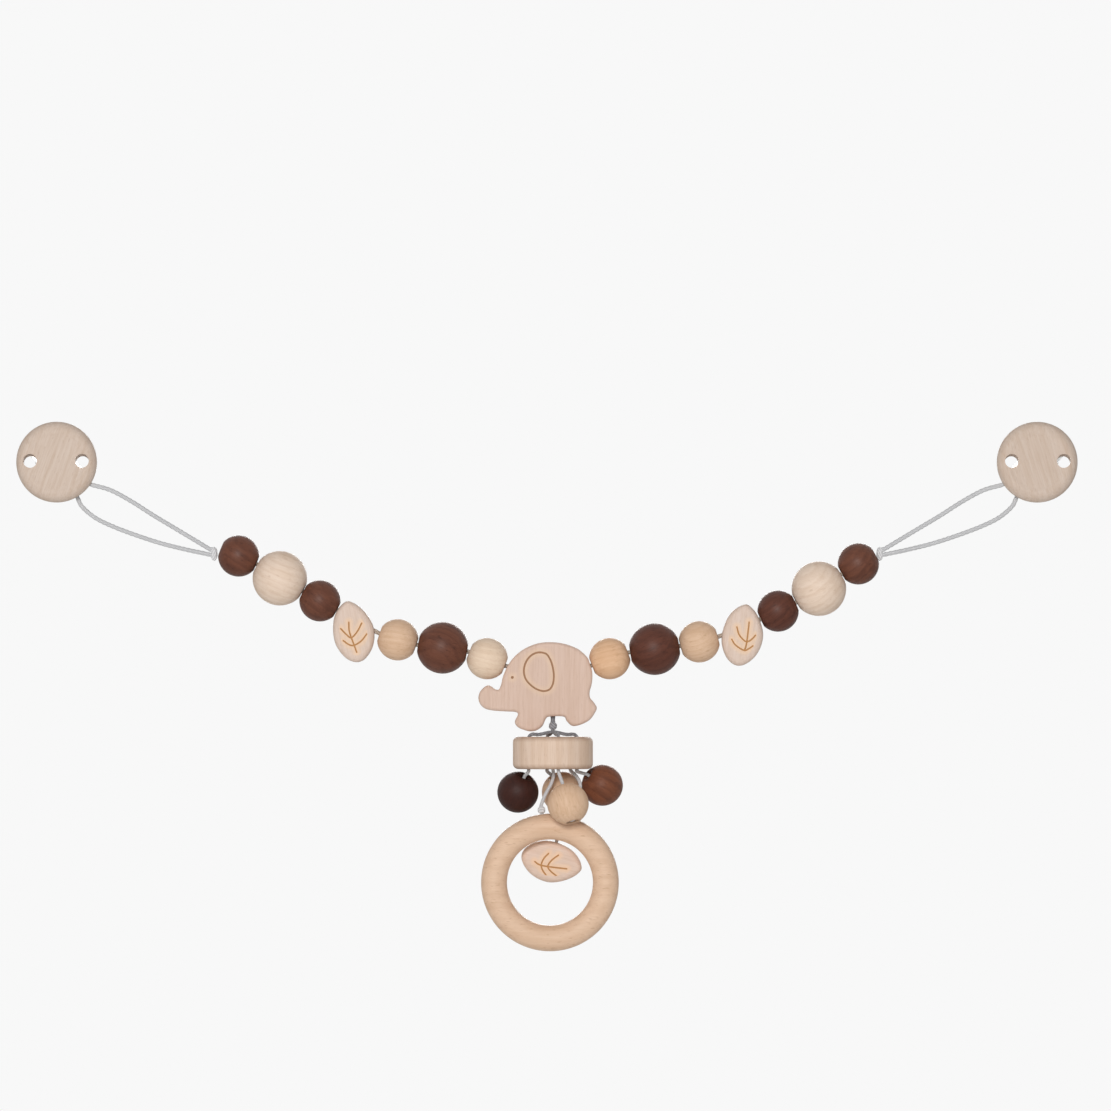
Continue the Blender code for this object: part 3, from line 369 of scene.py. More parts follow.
def arc_points(centre, radius, start, end, count):
    """Points round a centre, between two angles in degrees from the first axis."""
    angles = np.radians(np.linspace(start, end, count))
    return np.stack([np.cos(angles), np.sin(angles)], axis=1) * radius + centre


# Surfaces


def facing_outwards(points, faces):
    """The faces turned so that the closed shape they bound has a positive volume."""
    volume = 0.0
    for group in faces:
        corners = points[group]
        for i in range(1, group.shape[1] - 1):
            volume += float((corners[:, 0] * np.cross(corners[:, i], corners[:, i + 1])).sum())
    return faces if volume > 0 else [group[:, ::-1] for group in faces]


def make_mesh(name, points, faces, attributes):
    """A mesh from an array of points and arrays of faces, with numbers on its points by name."""
    mesh = bpy.data.meshes.new(name)
    faces = facing_outwards(points, faces)
    mesh.from_pydata(points.tolist(), [], [face for group in faces for face in group.tolist()])
    for key, values in attributes.items():
        layer = mesh.attributes.new(key, "FLOAT", "POINT")
        layer.data.foreach_set("value", np.asarray(values, np.float32))
    return mesh


def grid_faces(rows, columns, wrap):
    """Four-sided faces between neighbours of a grid that is round in its columns."""
    i = np.arange(rows if wrap else rows - 1)[:, None]
    j = np.arange(columns)[None, :]
    above, beside = (i + 1) % rows, (j + 1) % columns
    corners = (i * columns + j, i * columns + beside, above * columns + beside, above * columns + j)
    return np.stack(corners, axis=-1).reshape(-1, 4)


def round_surface(name, grid, attributes, wrap=False):
    """A surface over a grid, round in its columns. Its rows join up, or close in a pole at each end."""
    rows, columns = grid.shape[:2]
    points = grid.reshape(-1, 3)
    faces = [grid_faces(rows, columns, wrap)]
    values = {key: np.asarray(value).reshape(-1) for key, value in attributes.items()}
    if not wrap:
        pole, end = rows * columns, (rows - 1) * columns
        j = np.arange(columns)
        beside = (j + 1) % columns
        faces.append(np.stack([np.full(columns, pole), beside, j], axis=1))
        faces.append(np.stack([np.full(columns, pole + 1), end + j, end + beside], axis=1))
        points = np.vstack([points, grid[0].mean(axis=0), grid[-1].mean(axis=0)])
        values = {key: np.concatenate([v, [v[0], v[-1]]]) for key, v in values.items()}
    return make_mesh(name, points, faces, values)


def turned_grid(profile, segments):
    """Each profile point, radius r and height h, goes round the axis: r cos a, r sin a, h."""
    radius, height = np.asarray(profile, float).T
    angle = full_turn(segments)
    parts = [np.outer(radius, wave(angle)) for wave in (np.cos, np.sin)]
    return np.stack([*parts, np.outer(height, np.ones(segments))], axis=-1)


def turned_mesh(name, profile, place, axes, segments=BEAD_SEGMENTS, wrap=True, shade=None):
    """A shape turned on a lathe, with a number from 0 to 1 along its profile for places painted darker: end
    grain, and painted shade in bores, mouths and on rounded edges.
    """
    rows = np.zeros(len(profile)) if shade is None else shade
    shades = {"shade": np.repeat(rows, segments)}
    return round_surface(name, turned_grid(profile, segments) @ axes + place, shades, wrap)


def swept_grid(path, radius, across):
    """A ring of points round each point of a path, across the path's own direction there.

    The radius has a row for each ring and a column for each of its points.
    """
    tangent = unit(np.gradient(path, axis=0))
    first = unit(across - tangent * (tangent @ across)[:, None])
    second = np.cross(tangent, first)
    angle = full_turn(radius.shape[1])[None, :, None]
    ring = first[:, None] * np.cos(angle) + second[:, None] * np.sin(angle)
    return path[:, None] + ring * radius[:, :, None]


# Braided cords and their knots

BRAID_DEPTH = 0.12
BRAID_FULLNESS = 1.05
BRAID_LOBES = 6
BRAID_PITCH = 2.3
CORD_SIDES = 24
ROWS_PER_PITCH = 7
CUT_END = 0.7
KNOT_SQUARENESS = 0.85
KNOT_TURNS = 3.0
KNOT_ROWS = 44
KNOT_SEGMENTS = 64
KNOT_POLE = 0.06
# Shares of a knot's relief: its body, its strands and their fibres
KNOT_RELIEF = (0.84, 0.13, 0.03)
# A round knot is drawn this much larger than its solid, which its relief takes off again
ROUND_KNOT_FULLNESS = 1.15


def braided_mesh(name, path, radius, across=DEPTH, swell=None):
    """A round cord whose strands stand up in staggered rows, and the even path that it follows.

    The relief is the product of a cosine round the cord and a cosine along it, so that its
    crests lie like the crossings of a plait. A swell widens it into a knot.
    """
    pitch = BRAID_PITCH * radius
    path = even_steps(path, pitch / ROWS_PER_PITCH)
    along = distances_along(path)
    around = np.cos(BRAID_LOBES * full_turn(CORD_SIDES))
    crest = 0.5 + 0.5 * np.outer(np.cos(TAU * along / pitch), around)
    width = radius * (BRAID_FULLNESS - BRAID_DEPTH * (1 - crest))
    if swell is not None:
        width = width * swell(along, along[-1])[:, None]
    width[[0, -1]] *= CUT_END
    rows = np.repeat(along[:, None], CORD_SIDES, axis=1)
    return round_surface(name, swept_grid(path, width, across), {"crest": crest, "along": rows}), path


def braided(node, path, radius, material, across=DEPTH, swell=None, rides=True):
    """A cord's piece, and the even path that it follows."""
    mesh, path = braided_mesh(node, path, radius, across, swell)
    return dress(mesh, node, "braided", material, rides), path


def wound_knot(node, place, axes, half_sizes, lean, material):
    """A pulled-tight knot: a squarish egg wrapped in strands.

    Its points are half_sizes times the direction on a ball, each part of it to a power. Grooves
    lie where the wrapping angle, which is the turn round the first axis plus a lean along it, is
    a whole number of strands.
    """
    polar = np.linspace(KNOT_POLE, math.pi - KNOT_POLE, KNOT_ROWS)[:, None]
    turn = full_turn(KNOT_SEGMENTS)[None, :]
    ball = [np.cos(polar) + 0 * turn, np.sin(polar) * np.sin(turn), np.sin(polar) * np.cos(turn)]
    direction = np.stack(ball, axis=-1)
    direction = np.sign(direction) * np.abs(direction) ** KNOT_SQUARENESS
    wrap = KNOT_TURNS * (np.cos(polar) * lean + np.cos(turn) * np.sin(polar))
    strand = np.abs(np.sin(math.pi * wrap / 2))
    fibre = 0.5 + 0.5 * np.cos(14 * turn + 9 * polar)
    body, strands, fibres = KNOT_RELIEF
    relief = body + strands * np.sqrt(strand) + fibres * fibre
    grid = (direction * half_sizes * relief[..., None]) @ axes + place
    numbers = {"crest": 0.25 + 0.75 * strand, "along": 0.002 * (turn + 0 * polar)}
    return dress(round_surface(node, grid, numbers), node, "tied", material)


# Boards with rounded edges and engraved lines

FACE_SPACING = 0.00045
GROOVE_SPACING = 0.0003
EDGE_STEPS = 7
FAR_FROM_LINE = 0.004
PIT_RIM = 0.0004
# Shares of the spacing: between rows of cells, between points that count as one, and off the rim
ROW_SHARE = 0.87
DOUBLE_SHARE = 1 / 4.5
RIM_SHARE = 0.55
# Rows of points across a groove, in shares of its width, and rings in a pit, of its radius
GROOVE_ROWS = (-0.66, -0.5, -0.27, 0, 0.27, 0.5, 0.66)
PIT_RINGS = (0.0, 0.5, 0.86, 1.0, 1.25)
PIT_SEGMENTS = 20


def neighbours_apart(values):
    """From each value's forerunner to its follower, round a closed line."""
    return np.roll(values, -1, axis=0) - np.roll(values, 1, axis=0)


def slopes(line, closed=True):
    return unit(neighbours_apart(line) if closed else np.gradient(line, axis=0))


def right_of(slope):
    return np.stack([slope[:, 1], -slope[:, 0]], axis=1)


def outward_normals(outline):
    """The outline's normals in its own plane, which point out of it."""
    normals = right_of(slopes(outline))
    ahead = np.roll(outline, -1, axis=0)
    area = (outline[:, 0] * ahead[:, 1] - ahead[:, 0] * outline[:, 1]).sum()
    return normals if area > 0 else -normals


def edge_widths(outline, normals, radius):
    """How far the rounding comes in at each point: less where the outline itself turns tightly."""
    apart = neighbours_apart(outline)
    step = np.linalg.norm(apart, axis=1) / 2
    curvature = (neighbours_apart(normals) * unit(apart)).sum(axis=1) / (2 * step)
    width = np.minimum(radius, 0.8 / np.maximum(curvature, 1 / (8 * radius)))
    near = max(int(radius / step.mean()), 2)
    for smoothed in (np.min, np.mean):
        width = smoothed([np.roll(width, i) for i in range(-near, near + 1)], axis=0)
    return width


def inside(points, outline):
    """Which points an even-odd count of the outline's crossings puts inside it."""
    x, y = points[:, :1], points[:, 1:]
    x1, y1 = outline.T
    x2, y2 = np.roll(x1, -1), np.roll(y1, -1)
    spans = (y1 > y) != (y2 > y)
    rise = np.where(y2 == y1, 1e-12, y2 - y1)
    crossing = x < (x2 - x1) * (y - y1) / rise + x1
    return (spans & crossing).sum(axis=1) % 2 == 1


def distance_to_line(points, line, closed):
    """How far each point is from the nearest stretch of a line."""
    start = line if closed else line[:-1]
    span = (np.roll(line, -1, axis=0) if closed else line[1:]) - start
    offset = points[:, None] - start[None]
    share = (offset * span).sum(axis=-1) / np.maximum((span**2).sum(axis=-1), 1e-18)
    nearest = start + span * np.clip(share, 0, 1)[..., None]
    return np.linalg.norm(points[:, None] - nearest, axis=-1).min(axis=1)


def face_points(rim, grooves, pits, spacing):
    """Points inside a face's rim: rows along each groove, rings in each pit, and cells elsewhere."""
    fill = []
    for line, closed, width, _ in grooves:
        aside = right_of(slopes(line, closed)) * width
        fill += [line + aside * share for share in GROOVE_ROWS]
    for centre, radius, _ in pits:
        for share in PIT_RINGS:
            turn = full_turn(PIT_SEGMENTS)[: PIT_SEGMENTS if share else 1]
            fill.append(centre + np.stack([np.cos(turn), np.sin(turn)], axis=1) * radius * share)
    (left, bottom), (right, top) = rim.min(axis=0), rim.max(axis=0)
    rows = np.meshgrid(np.arange(left, right, spacing), np.arange(bottom, top, spacing * ROW_SHARE))
    cells = np.stack(rows, axis=-1)
    cells[1::2, :, 0] += spacing / 2
    cells = cells.reshape(-1, 2)
    for line, closed, width, _ in grooves:
        cells = cells[distance_to_line(cells, line, closed) > width]
    for centre, radius, _ in pits:
        cells = cells[np.linalg.norm(cells - centre, axis=1) > 1.5 * radius]
    points = np.vstack([*fill, cells])
    tiles = np.round(points / (spacing * DOUBLE_SHARE)).astype(np.int64)
    _, first = np.unique(tiles, axis=0, return_index=True)
    points = points[np.sort(first)]
    points = points[inside(points, rim)]
    return points[distance_to_line(points, rim, True) > spacing * RIM_SHARE]


def engraved(face, grooves, pits):
    """How deep each point of a face lies, and how far it is from a line.

    A groove is half round, d sqrt(1 - (2 x / w)^2) at x from its middle, and a pit's side is steep.
    """
    sunk = np.zeros(len(face))
    nearest = np.full(len(face), FAR_FROM_LINE)
    for line, closed, width, depth in grooves:
        away = distance_to_line(face, line, closed)
        nearest = np.minimum(nearest, away)
        sunk = np.maximum(sunk, depth * np.sqrt(1 - np.clip(2 * away / width, 0, 1) ** 2))
    for centre, radius, depth in pits:
        away = np.linalg.norm(face - centre, axis=1)
        sunk = np.maximum(sunk, depth * np.clip((1.02 - away / radius) / 0.12, 0, 1))
        nearest = np.minimum(nearest, np.maximum(away - radius + PIT_RIM, 0))
    return sunk, nearest


def matched(triangles, sides, start, count):
    """The triangles turned so that they run against the sides' faces along the rim they share."""
    rim = set()
    for face in sides.tolist():
        for a, b in zip(face, face[1:] + face[:1]):
            if start <= a < start + count and start <= b < start + count:
                rim.add((a, b))
    same = any((a, b) in rim or (b, c) in rim or (c, a) in rim for a, b, c in triangles.tolist())
    return triangles[:, ::-1] if same else triangles


def board_mesh(name, outline, thickness, radius, place, axes, grooves=(), pits=(), spacing=FACE_SPACING):
    """A flat shape sawn from board. Its outline lies in the first and last axes.

    Round the edge, the outline comes in by w (1 - cos a) and its depth is t/2 - r + r sin a, with
    a from -90 to 90 degrees. Each face is filled with points that are sunk in its grooves and pits.
    A groove is (line, closed, width, depth), and a pit (centre, radius, depth).
    """
    normals = outward_normals(outline)
    width = edge_widths(outline, normals, radius)[:, None]
    angles = np.linspace(math.pi / 2, 0, EDGE_STEPS)
    angles = np.concatenate([angles, angles[::-1]])
    grid = outline - normals * width * (1 - np.cos(angles))[:, None, None]
    depths = np.repeat([-1, 1], EDGE_STEPS) * (thickness / 2 - radius + radius * np.sin(angles))
    rows, count = grid.shape[:2]
    grooves = [(even_steps(line, GROOVE_SPACING, closed), closed, *rest) for line, closed, *rest in grooves]
    face = face_points(grid[0], grooves, pits, spacing)
    sunk, nearest = engraved(face, grooves, pits)
    flat = np.vstack([grid[0], face])
    edges = [(i, (i + 1) % count) for i in range(count)]
    found = delaunay_2d_cdt([Vector(point) for point in flat.tolist()], edges, [], 1, 1e-9)
    if len(found[0]) != len(flat):
        raise ValueError(f"{name}: the face's triangles need {len(found[0]) - len(flat)} more points")
    order = np.array([source[0] for source in found[3]])
    triangles = order[np.array([list(triangle) for triangle in found[2]])]
    sides = grid_faces(rows, count, False)
    faces = [sides]
    for rim, fill in ((0, rows * count), ((rows - 1) * count, rows * count + len(face))):
        moved = np.where(triangles < count, triangles + rim, triangles - count + fill)
        faces.append(matched(moved, sides, rim, count))
    across = np.vstack([grid.reshape(-1, 2), face, face])
    depth = np.concatenate([np.repeat(depths, count), sunk - thickness / 2, thickness / 2 - sunk])
    points = np.stack([across[:, 0], depth, across[:, 1]], axis=1) @ axes + place
    lines = np.concatenate([np.full(rows * count, FAR_FROM_LINE), nearest, nearest])
    return make_mesh(name, points, faces, {"line": lines, "shade": np.zeros(len(points))})


def carve(piece, tools, operation="DIFFERENCE"):
    """Takes the tools' shapes out of the piece, or adds them to it, and removes the tools."""
    held = bpy.data.collections.new(piece.name + "_tools")
    bpy.context.scene.collection.children.link(held)
    for i, mesh in enumerate(tools):
        held.objects.link(bpy.data.objects.new(f"{piece.name}_tool_{i}", mesh))
    modifier = piece.modifiers.new("carving", "BOOLEAN")
    modifier.operation = operation
    modifier.solver = "EXACT"
    modifier.operand_type = "COLLECTION"
    modifier.collection = held
    bpy.context.view_layer.update()
    carved = bpy.data.meshes.new_from_object(piece.evaluated_get(bpy.context.evaluated_depsgraph_get()))
    piece.modifiers.clear()
    piece.data = carved
    for tool in list(held.objects):
        bpy.data.objects.remove(tool)
    bpy.data.collections.remove(held)


def rod(centre, reach, radius, sides=40, shade=0.0):
    """A plain round rod that reaches as far each way from its centre, only used to cut or join. The shade
    number it carries goes onto the walls it cuts, where it paints them darker as shade.
    """
    axes = axes_along(reach, DEPTH if abs(unit(reach)[1]) < 0.9 else SIDEWAYS)
    grid = turned_grid([(radius, 0), (radius, 2 * np.linalg.norm(reach))], sides)
    return round_surface("rod", grid @ axes + centre - reach, {"shade": np.full(2 * sides, shade)})


# Materials


def srgb(red, green, blue):
    """A colour written in the usual 0 to 255 steps, as linear light."""
    steps = np.array([red, green, blue]) / 255
    linear = np.where(steps <= 0.04045, steps / 12.92, ((steps + 0.055) / 1.055) ** 2.4)
    return (*(float(x) for x in linear), 1.0)


def new_material(name):
    material = bpy.data.materials.new(name)
    material.use_nodes = True
    return material, material.node_tree, material.node_tree.nodes["Principled BSDF"]


def fill_inputs(tree, node, inputs):
    """Each input becomes a number, a colour or another node's output."""
    for key, value in inputs.items():
        if isinstance(value, bpy.types.NodeSocket):
            tree.links.new(value, node.inputs[key])
        else:
            node.inputs[key].default_value = value


def add_node(tree, kind, inputs=None, **settings):
    made = tree.nodes.new("ShaderNode" + kind)
    for key, value in settings.items():
        setattr(made, key, value)
    fill_inputs(tree, made, inputs or {})
    return made


def maths(tree, operation, first, second=0.0):
    return add_node(tree, "Math", {0: first, 1: second}, operation=operation).outputs[0]


def stretched(tree, vector, x, y, z):
    return add_node(tree, "VectorMath", {0: vector, 1: (x, y, z)}, operation="MULTIPLY").outputs[0]


def vector_length(tree, vector):
    return add_node(tree, "VectorMath", {0: vector}, operation="LENGTH").outputs["Value"]


def noise(tree, vector, scale, seed, detail, roughness=0.5):
    inputs = {"Vector": vector, "Scale": scale, "W": seed, "Detail": detail, "Roughness": roughness}
    return add_node(tree, "TexNoise", inputs, noise_dimensions="4D").outputs[0]


def mapped(tree, value, low, high, to_low=0.0, to_high=1.0, steps="SMOOTHSTEP"):
    inputs = {0: value, 1: low, 2: high, 3: to_low, 4: to_high}
    return add_node(tree, "MapRange", inputs, interpolation_type=steps).outputs[0]


def mixed(tree, factor, first, second):
    inputs = {0: factor, 6: first, 7: second}
    return add_node(tree, "Mix", inputs, data_type="RGBA").outputs[2]


def bump(tree, height, strength, distance):
    inputs = {"Height": height, "Strength": strength, "Distance": distance}
    return add_node(tree, "Bump", inputs).outputs[0]


def ramp(tree, value, stops):
    """A number that runs through the stops, each a place and a level."""
    made = add_node(tree, "ValToRGB", {0: value})
    elements = made.color_ramp.elements
    while len(elements) < len(stops):
        elements.new(0.5)
    for element, (place, level) in zip(elements, stops):
        element.position = place
        element.color = (level, level, level, 1)
    return made.outputs[0]


def attribute(tree, name):
    return add_node(tree, "Attribute", attribute_name=name).outputs["Fac"]


def object_place(tree):
    return add_node(tree, "TexCoord").outputs["Object"]


# Each wood's colour, the spacing of its growth rings, how strongly its rings, streaks, fibres and
# flecks show, and how rough it is
WOODS = {
    "natural": ((219, 186, 157), 0.0021, 0.40, 0.35, 0.35, 0.30, (0.46, 0.60)),
    "cream": ((230, 207, 184), 0.0023, 0.35, 0.30, 0.30, 0.20, (0.46, 0.60)),
    "honey": ((227, 187, 152), 0.0024, 0.45, 0.45, 0.35, 0.25, (0.44, 0.58)),
    "pale": ((229, 208, 190), 0.0026, 0.40, 0.35, 0.30, 0.25, (0.46, 0.60)),
    "board": ((213, 186, 170), 0.0019, 0.18, 0.22, 0.32, 0.12, (0.56, 0.70)),
    "leaf": ((218, 197, 183), 0.0021, 0.25, 0.25, 0.35, 0.15, (0.54, 0.68)),
    "clip": ((206, 188, 174), 0.0024, 0.25, 0.30, 0.45, 0.20, (0.56, 0.70)),
    "disc": ((222, 198, 179), 0.0052, 0.45, 0.30, 0.40, 0.20, (0.54, 0.68)),
    "beech": ((222, 190, 163), 0.0040, 0.22, 0.32, 0.30, 0.35, (0.42, 0.56)),
    "walnut": ((99, 61, 47), 0.0030, 0.45, 0.50, 0.40, 0.45, (0.40, 0.52)),
    "red_walnut": ((87, 51, 40), 0.0032, 0.45, 0.50, 0.40, 0.40, (0.40, 0.52)),
    # The next walnut is painted darker and duller, as the shade it hangs in under the pendant disc
    "walnut_painted_in_shade": ((55, 28, 22), 0.0028, 0.40, 0.45, 0.35, 0.35, (0.46, 0.58)),
    "warm_walnut": ((111, 66, 46), 0.0030, 0.45, 0.50, 0.40, 0.40, (0.44, 0.56)),
}
# What the parts of the grain make of a pale or a dark wood's own colour. End is the darker colour of bored
# end grain, and it also serves as painted shade in bores, mouths, vents and on rounded edges
PALE_GRAIN = {
    "early": (1.03, 1.035, 1.04), "late": (0.945, 0.905, 0.86), "deep": (0.92, 0.87, 0.81),
    "fleck": (0.80, 0.71, 0.61), "end": (0.56, 0.43, 0.32),
}
DARK_GRAIN = {
    "early": (1.14, 1.14, 1.12), "late": (0.86, 0.84, 0.84), "deep": (0.74, 0.70, 0.72),
    "fleck": (0.50, 0.46, 0.48), "end": (0.36, 0.32, 0.32),
}
WOOD_BUMP = 0.12
WOOD_GLOSS = 0.2
BURNT_LINE = srgb(186, 136, 86)
BURNT_GLOW = srgb(237, 203, 170)
EAR_LINE = srgb(165, 125, 95)
EAR_GLOW = srgb(226, 196, 170)
GLOW_REACH = 0.0026
# Where a piece's pith line may lie, and how far its rings wander, in metres
PITH_AWAY = (0.018, 0.032)
PITH_ASIDE = (-0.02, 0.02)
RING_WANDER = 0.006


def wood(name, kind, centre, grain, seed, burnt=None):
    """Wood whose growth rings are the distance from a pith line outside the piece.

    The rings wander with a slow noise. Fibres, streaks and flecks are noises drawn out along the
    grain. The shade number on the points mixes in the end colour, as end grain at bored ends and as
    painted shade in bores, mouths, vents and on rounded edges, and the line number darkens engraved
    lines. Burnt is a line's colour, its glow and half its width.
    """
    tone, pitch, ring_share, streak_share, fibre_share, fleck_share, rough = WOODS[kind]
    look = {
        part: srgb(*(min(level * share, 255) for level, share in zip(tone, shares)))
        for part, shares in (DARK_GRAIN if "walnut" in kind else PALE_GRAIN).items()
    }
    material, tree, shader = new_material(name)
    axes = axes_along(grain)
    random = np.random.default_rng(int(seed * 100))
    pith = centre + axes[0] * random.uniform(*PITH_AWAY) + axes[1] * random.uniform(*PITH_ASIDE)
    turn = Matrix(axes.T.tolist()).to_euler()
    inputs = {"Vector": object_place(tree), "Location": pith, "Rotation": turn}
    vector = add_node(tree, "Mapping", inputs, vector_type="TEXTURE").outputs[0]
    wander = noise(tree, stretched(tree, vector, 1, 1, 0.3), 70, seed, 2)
    shift = maths(tree, "MULTIPLY", maths(tree, "SUBTRACT", wander, 0.5), RING_WANDER)
    radius = vector_length(tree, stretched(tree, vector, 1, 1, 0))
    phase = maths(tree, "DIVIDE", maths(tree, "ADD", radius, shift), pitch)
    stops = [(0.0, 0.85), (0.12, 0.15), (0.5, 0.25), (0.85, 0.8), (0.95, 1.0), (1.0, 0.85)]
    ring = ramp(tree, maths(tree, "FRACT", phase), stops)
    streak = noise(tree, stretched(tree, vector, 1, 1, 0.06), 330, seed + 3, 2)
    fibre = noise(tree, stretched(tree, vector, 1, 1, 0.04), 2300, seed + 5, 3, 0.65)
    dash = noise(tree, stretched(tree, vector, 1, 0.4, 0.2), 1500, seed + 7, 1)
    colour = mixed(tree, maths(tree, "MULTIPLY", ring, ring_share), look["early"], look["late"])
    layers = [
        (mapped(tree, streak, 0.42, 0.72, 0, streak_share), look["deep"]),
        (mapped(tree, fibre, 0.38, 0.72, 0, fibre_share), look["deep"]),
        (mapped(tree, dash, 0.62, 0.72, 0, fleck_share), look["fleck"]),
        # Painted shade: the shade number mixes in the end colour, for end grain and for shade in bores,
        # mouths, vents and on rounded edges
        (attribute(tree, "shade"), look["end"]),
    ]
    if burnt:
        line, glow, half = burnt
        away = attribute(tree, "line")
        layers.append((mapped(tree, away, half * 0.6, half + GLOW_REACH, 0.8, 0), glow))
        layers.append((mapped(tree, away, half * 0.55, half * 1.3, 1, 0), line))
    for share, tint in layers:
        colour = mixed(tree, share, colour, tint)
    relief = maths(tree, "ADD", fibre, maths(tree, "MULTIPLY", ring, 0.3))
    fill_inputs(tree, shader, {
        "Base Color": colour, "Roughness": mapped(tree, fibre, 0.3, 0.7, *rough),
        "Normal": bump(tree, relief, WOOD_BUMP, 0.0002), "Specular IOR Level": WOOD_GLOSS,
    })
    return material


def cord_material(name, bright, dark):
    """Braided yarn: the gaps between its strands are painted darker as shade, and its yarns vary along it.
    """
    material, tree, shader = new_material(name)
    crest = attribute(tree, "crest")
    place = add_node(tree, "CombineXYZ", {0: attribute(tree, "along"), 1: crest}).outputs[0]
    yarn = noise(tree, stretched(tree, place, 1, 0.0006, 1), 900, 2.0, 3)
    # Painted shade: the low places of the relief take the darker colour
    share = ramp(tree, crest, [(0.0, 1.0), (0.3, 0.75), (0.7, 0.2), (1.0, 0.0)])
    colour = mixed(tree, share, srgb(*bright), srgb(*dark))
    fill_inputs(tree, shader, {
        "Base Color": mixed(tree, mapped(tree, yarn, 0.4, 0.75, 0, 0.3), colour, srgb(*dark)),
        "Roughness": mapped(tree, yarn, 0.3, 0.7, 0.72, 0.9),
        "Specular IOR Level": 0.25, "Sheen Weight": 0.2,
    })
    return material


def steel_material(name, place, seed):
    """Nickel-plated steel with fine brushing and a few duller patches."""
    material, tree, shader = new_material(name)
    vector = add_node(tree, "Mapping", {"Vector": object_place(tree), "Location": place}).outputs[0]
    brushed = noise(tree, stretched(tree, vector, 1, 0.12, 0.12), 6000, seed, 2)
    dull = mapped(tree, noise(tree, vector, 420, seed + 2, 3), 0.45, 0.7, 0, 0.35)
    fine = mapped(tree, brushed, 0.3, 0.7, 0.2, 0.34)
    fill_inputs(tree, shader, {
        "Base Color": mixed(tree, dull, srgb(214, 214, 212), srgb(176, 174, 170)),
        "Roughness": maths(tree, "ADD", fine, maths(tree, "MULTIPLY", dull, 0.3)),
        "Normal": bump(tree, brushed, 0.08, 0.0001), "Metallic": 1.0,
    })
    return material


def pad_material(name):
    """Milky moulded plastic with a faint mottle."""
    material, tree, shader = new_material(name)
    mottle = noise(tree, object_place(tree), 700, 4.0, 3)
    fill_inputs(tree, shader, {
        "Base Color": mixed(tree, mapped(tree, mottle, 0.4, 0.7), srgb(222, 220, 212), srgb(204, 202, 194)),
        "Roughness": mapped(tree, mottle, 0.3, 0.7, 0.38, 0.5),
        "Normal": bump(tree, mottle, 0.1, 0.0001),
    })
    return material


def dress(mesh, node, finish, material, rides=True):
    """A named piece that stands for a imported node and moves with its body."""
    piece = bpy.data.objects.new(f"{node}_{finish}", mesh)
    bpy.context.scene.collection.objects.link(piece)
    mesh.materials.append(material)
    mesh.shade_smooth()
    mesh.set_sharp_from_angle(angle=SHARP_ANGLE)
    if rides:
        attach(piece, BODY_OF[node])
    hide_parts(node)
    return piece


# The toy's middle, between the elephant's two neighbours, and the places that hang from it
TILT = joint_place("elephant_tilt")
MIDDLE = TILT + UP * BORE_DROP_SHARE * ELEPHANT_LENGTH
PENDANT_TOP = MIDDLE + SIDEWAYS * PENDANT_SHARE * ELEPHANT_LENGTH
BELLY_DROP = BELLY_SHARE * ELEPHANT_LENGTH
DISC_DROP = FOOT_SHARE * ELEPHANT_LENGTH + DISC_GAP
BASE = PENDANT_TOP - UP * (DISC_DROP + DISC_THICKNESS)

CORD_LIGHT = cord_material("light grey braided cord", (216, 216, 217), (176, 176, 178))
CORD_WHITE = cord_material("white braided cord", (232, 231, 232), (168, 167, 168))
# Cream yarn whose brown gap colour also paints the warm shade between the beads
CORD_CREAM_AND_WARM_SHADE = cord_material("cream cord with painted warm shade", (226, 214, 200), (150, 120, 95))
# White cord painted grey, as the shade it lies in under the elephant
CORD_PAINTED_IN_SHADE = cord_material("white cord painted grey as shade", (176, 176, 180), (66, 66, 72))


# Camera, in front of the toy and level, with the frame shifted up to where the photograph has it
PHOTO_DISTANCE = 3.0
FRAME_WIDTH = 0.48884
FRAME_MIDDLE = (0.22294, -0.04495)
CAMERA_HEIGHT = -0.11707
SENSOR_WIDTH = 36.0

camera_data = bpy.data.cameras.new("camera")
camera_data.sensor_width = SENSOR_WIDTH
camera_data.lens = SENSOR_WIDTH * PHOTO_DISTANCE / FRAME_WIDTH
camera_data.shift_y = (FRAME_MIDDLE[1] - CAMERA_HEIGHT) / FRAME_WIDTH
camera_data.clip_start = 0.05
camera = bpy.data.objects.new("camera", camera_data)
camera.location = (FRAME_MIDDLE[0], MIDDLE[1] - PHOTO_DISTANCE, CAMERA_HEIGHT)
camera.rotation_euler = (math.pi / 2, 0, 0)
bpy.context.scene.collection.objects.link(camera)
bpy.context.scene.camera = camera


# Beads


def bead_half_length(radius):
    return math.sqrt(radius**2 - BEAD_END_RADIUS**2)


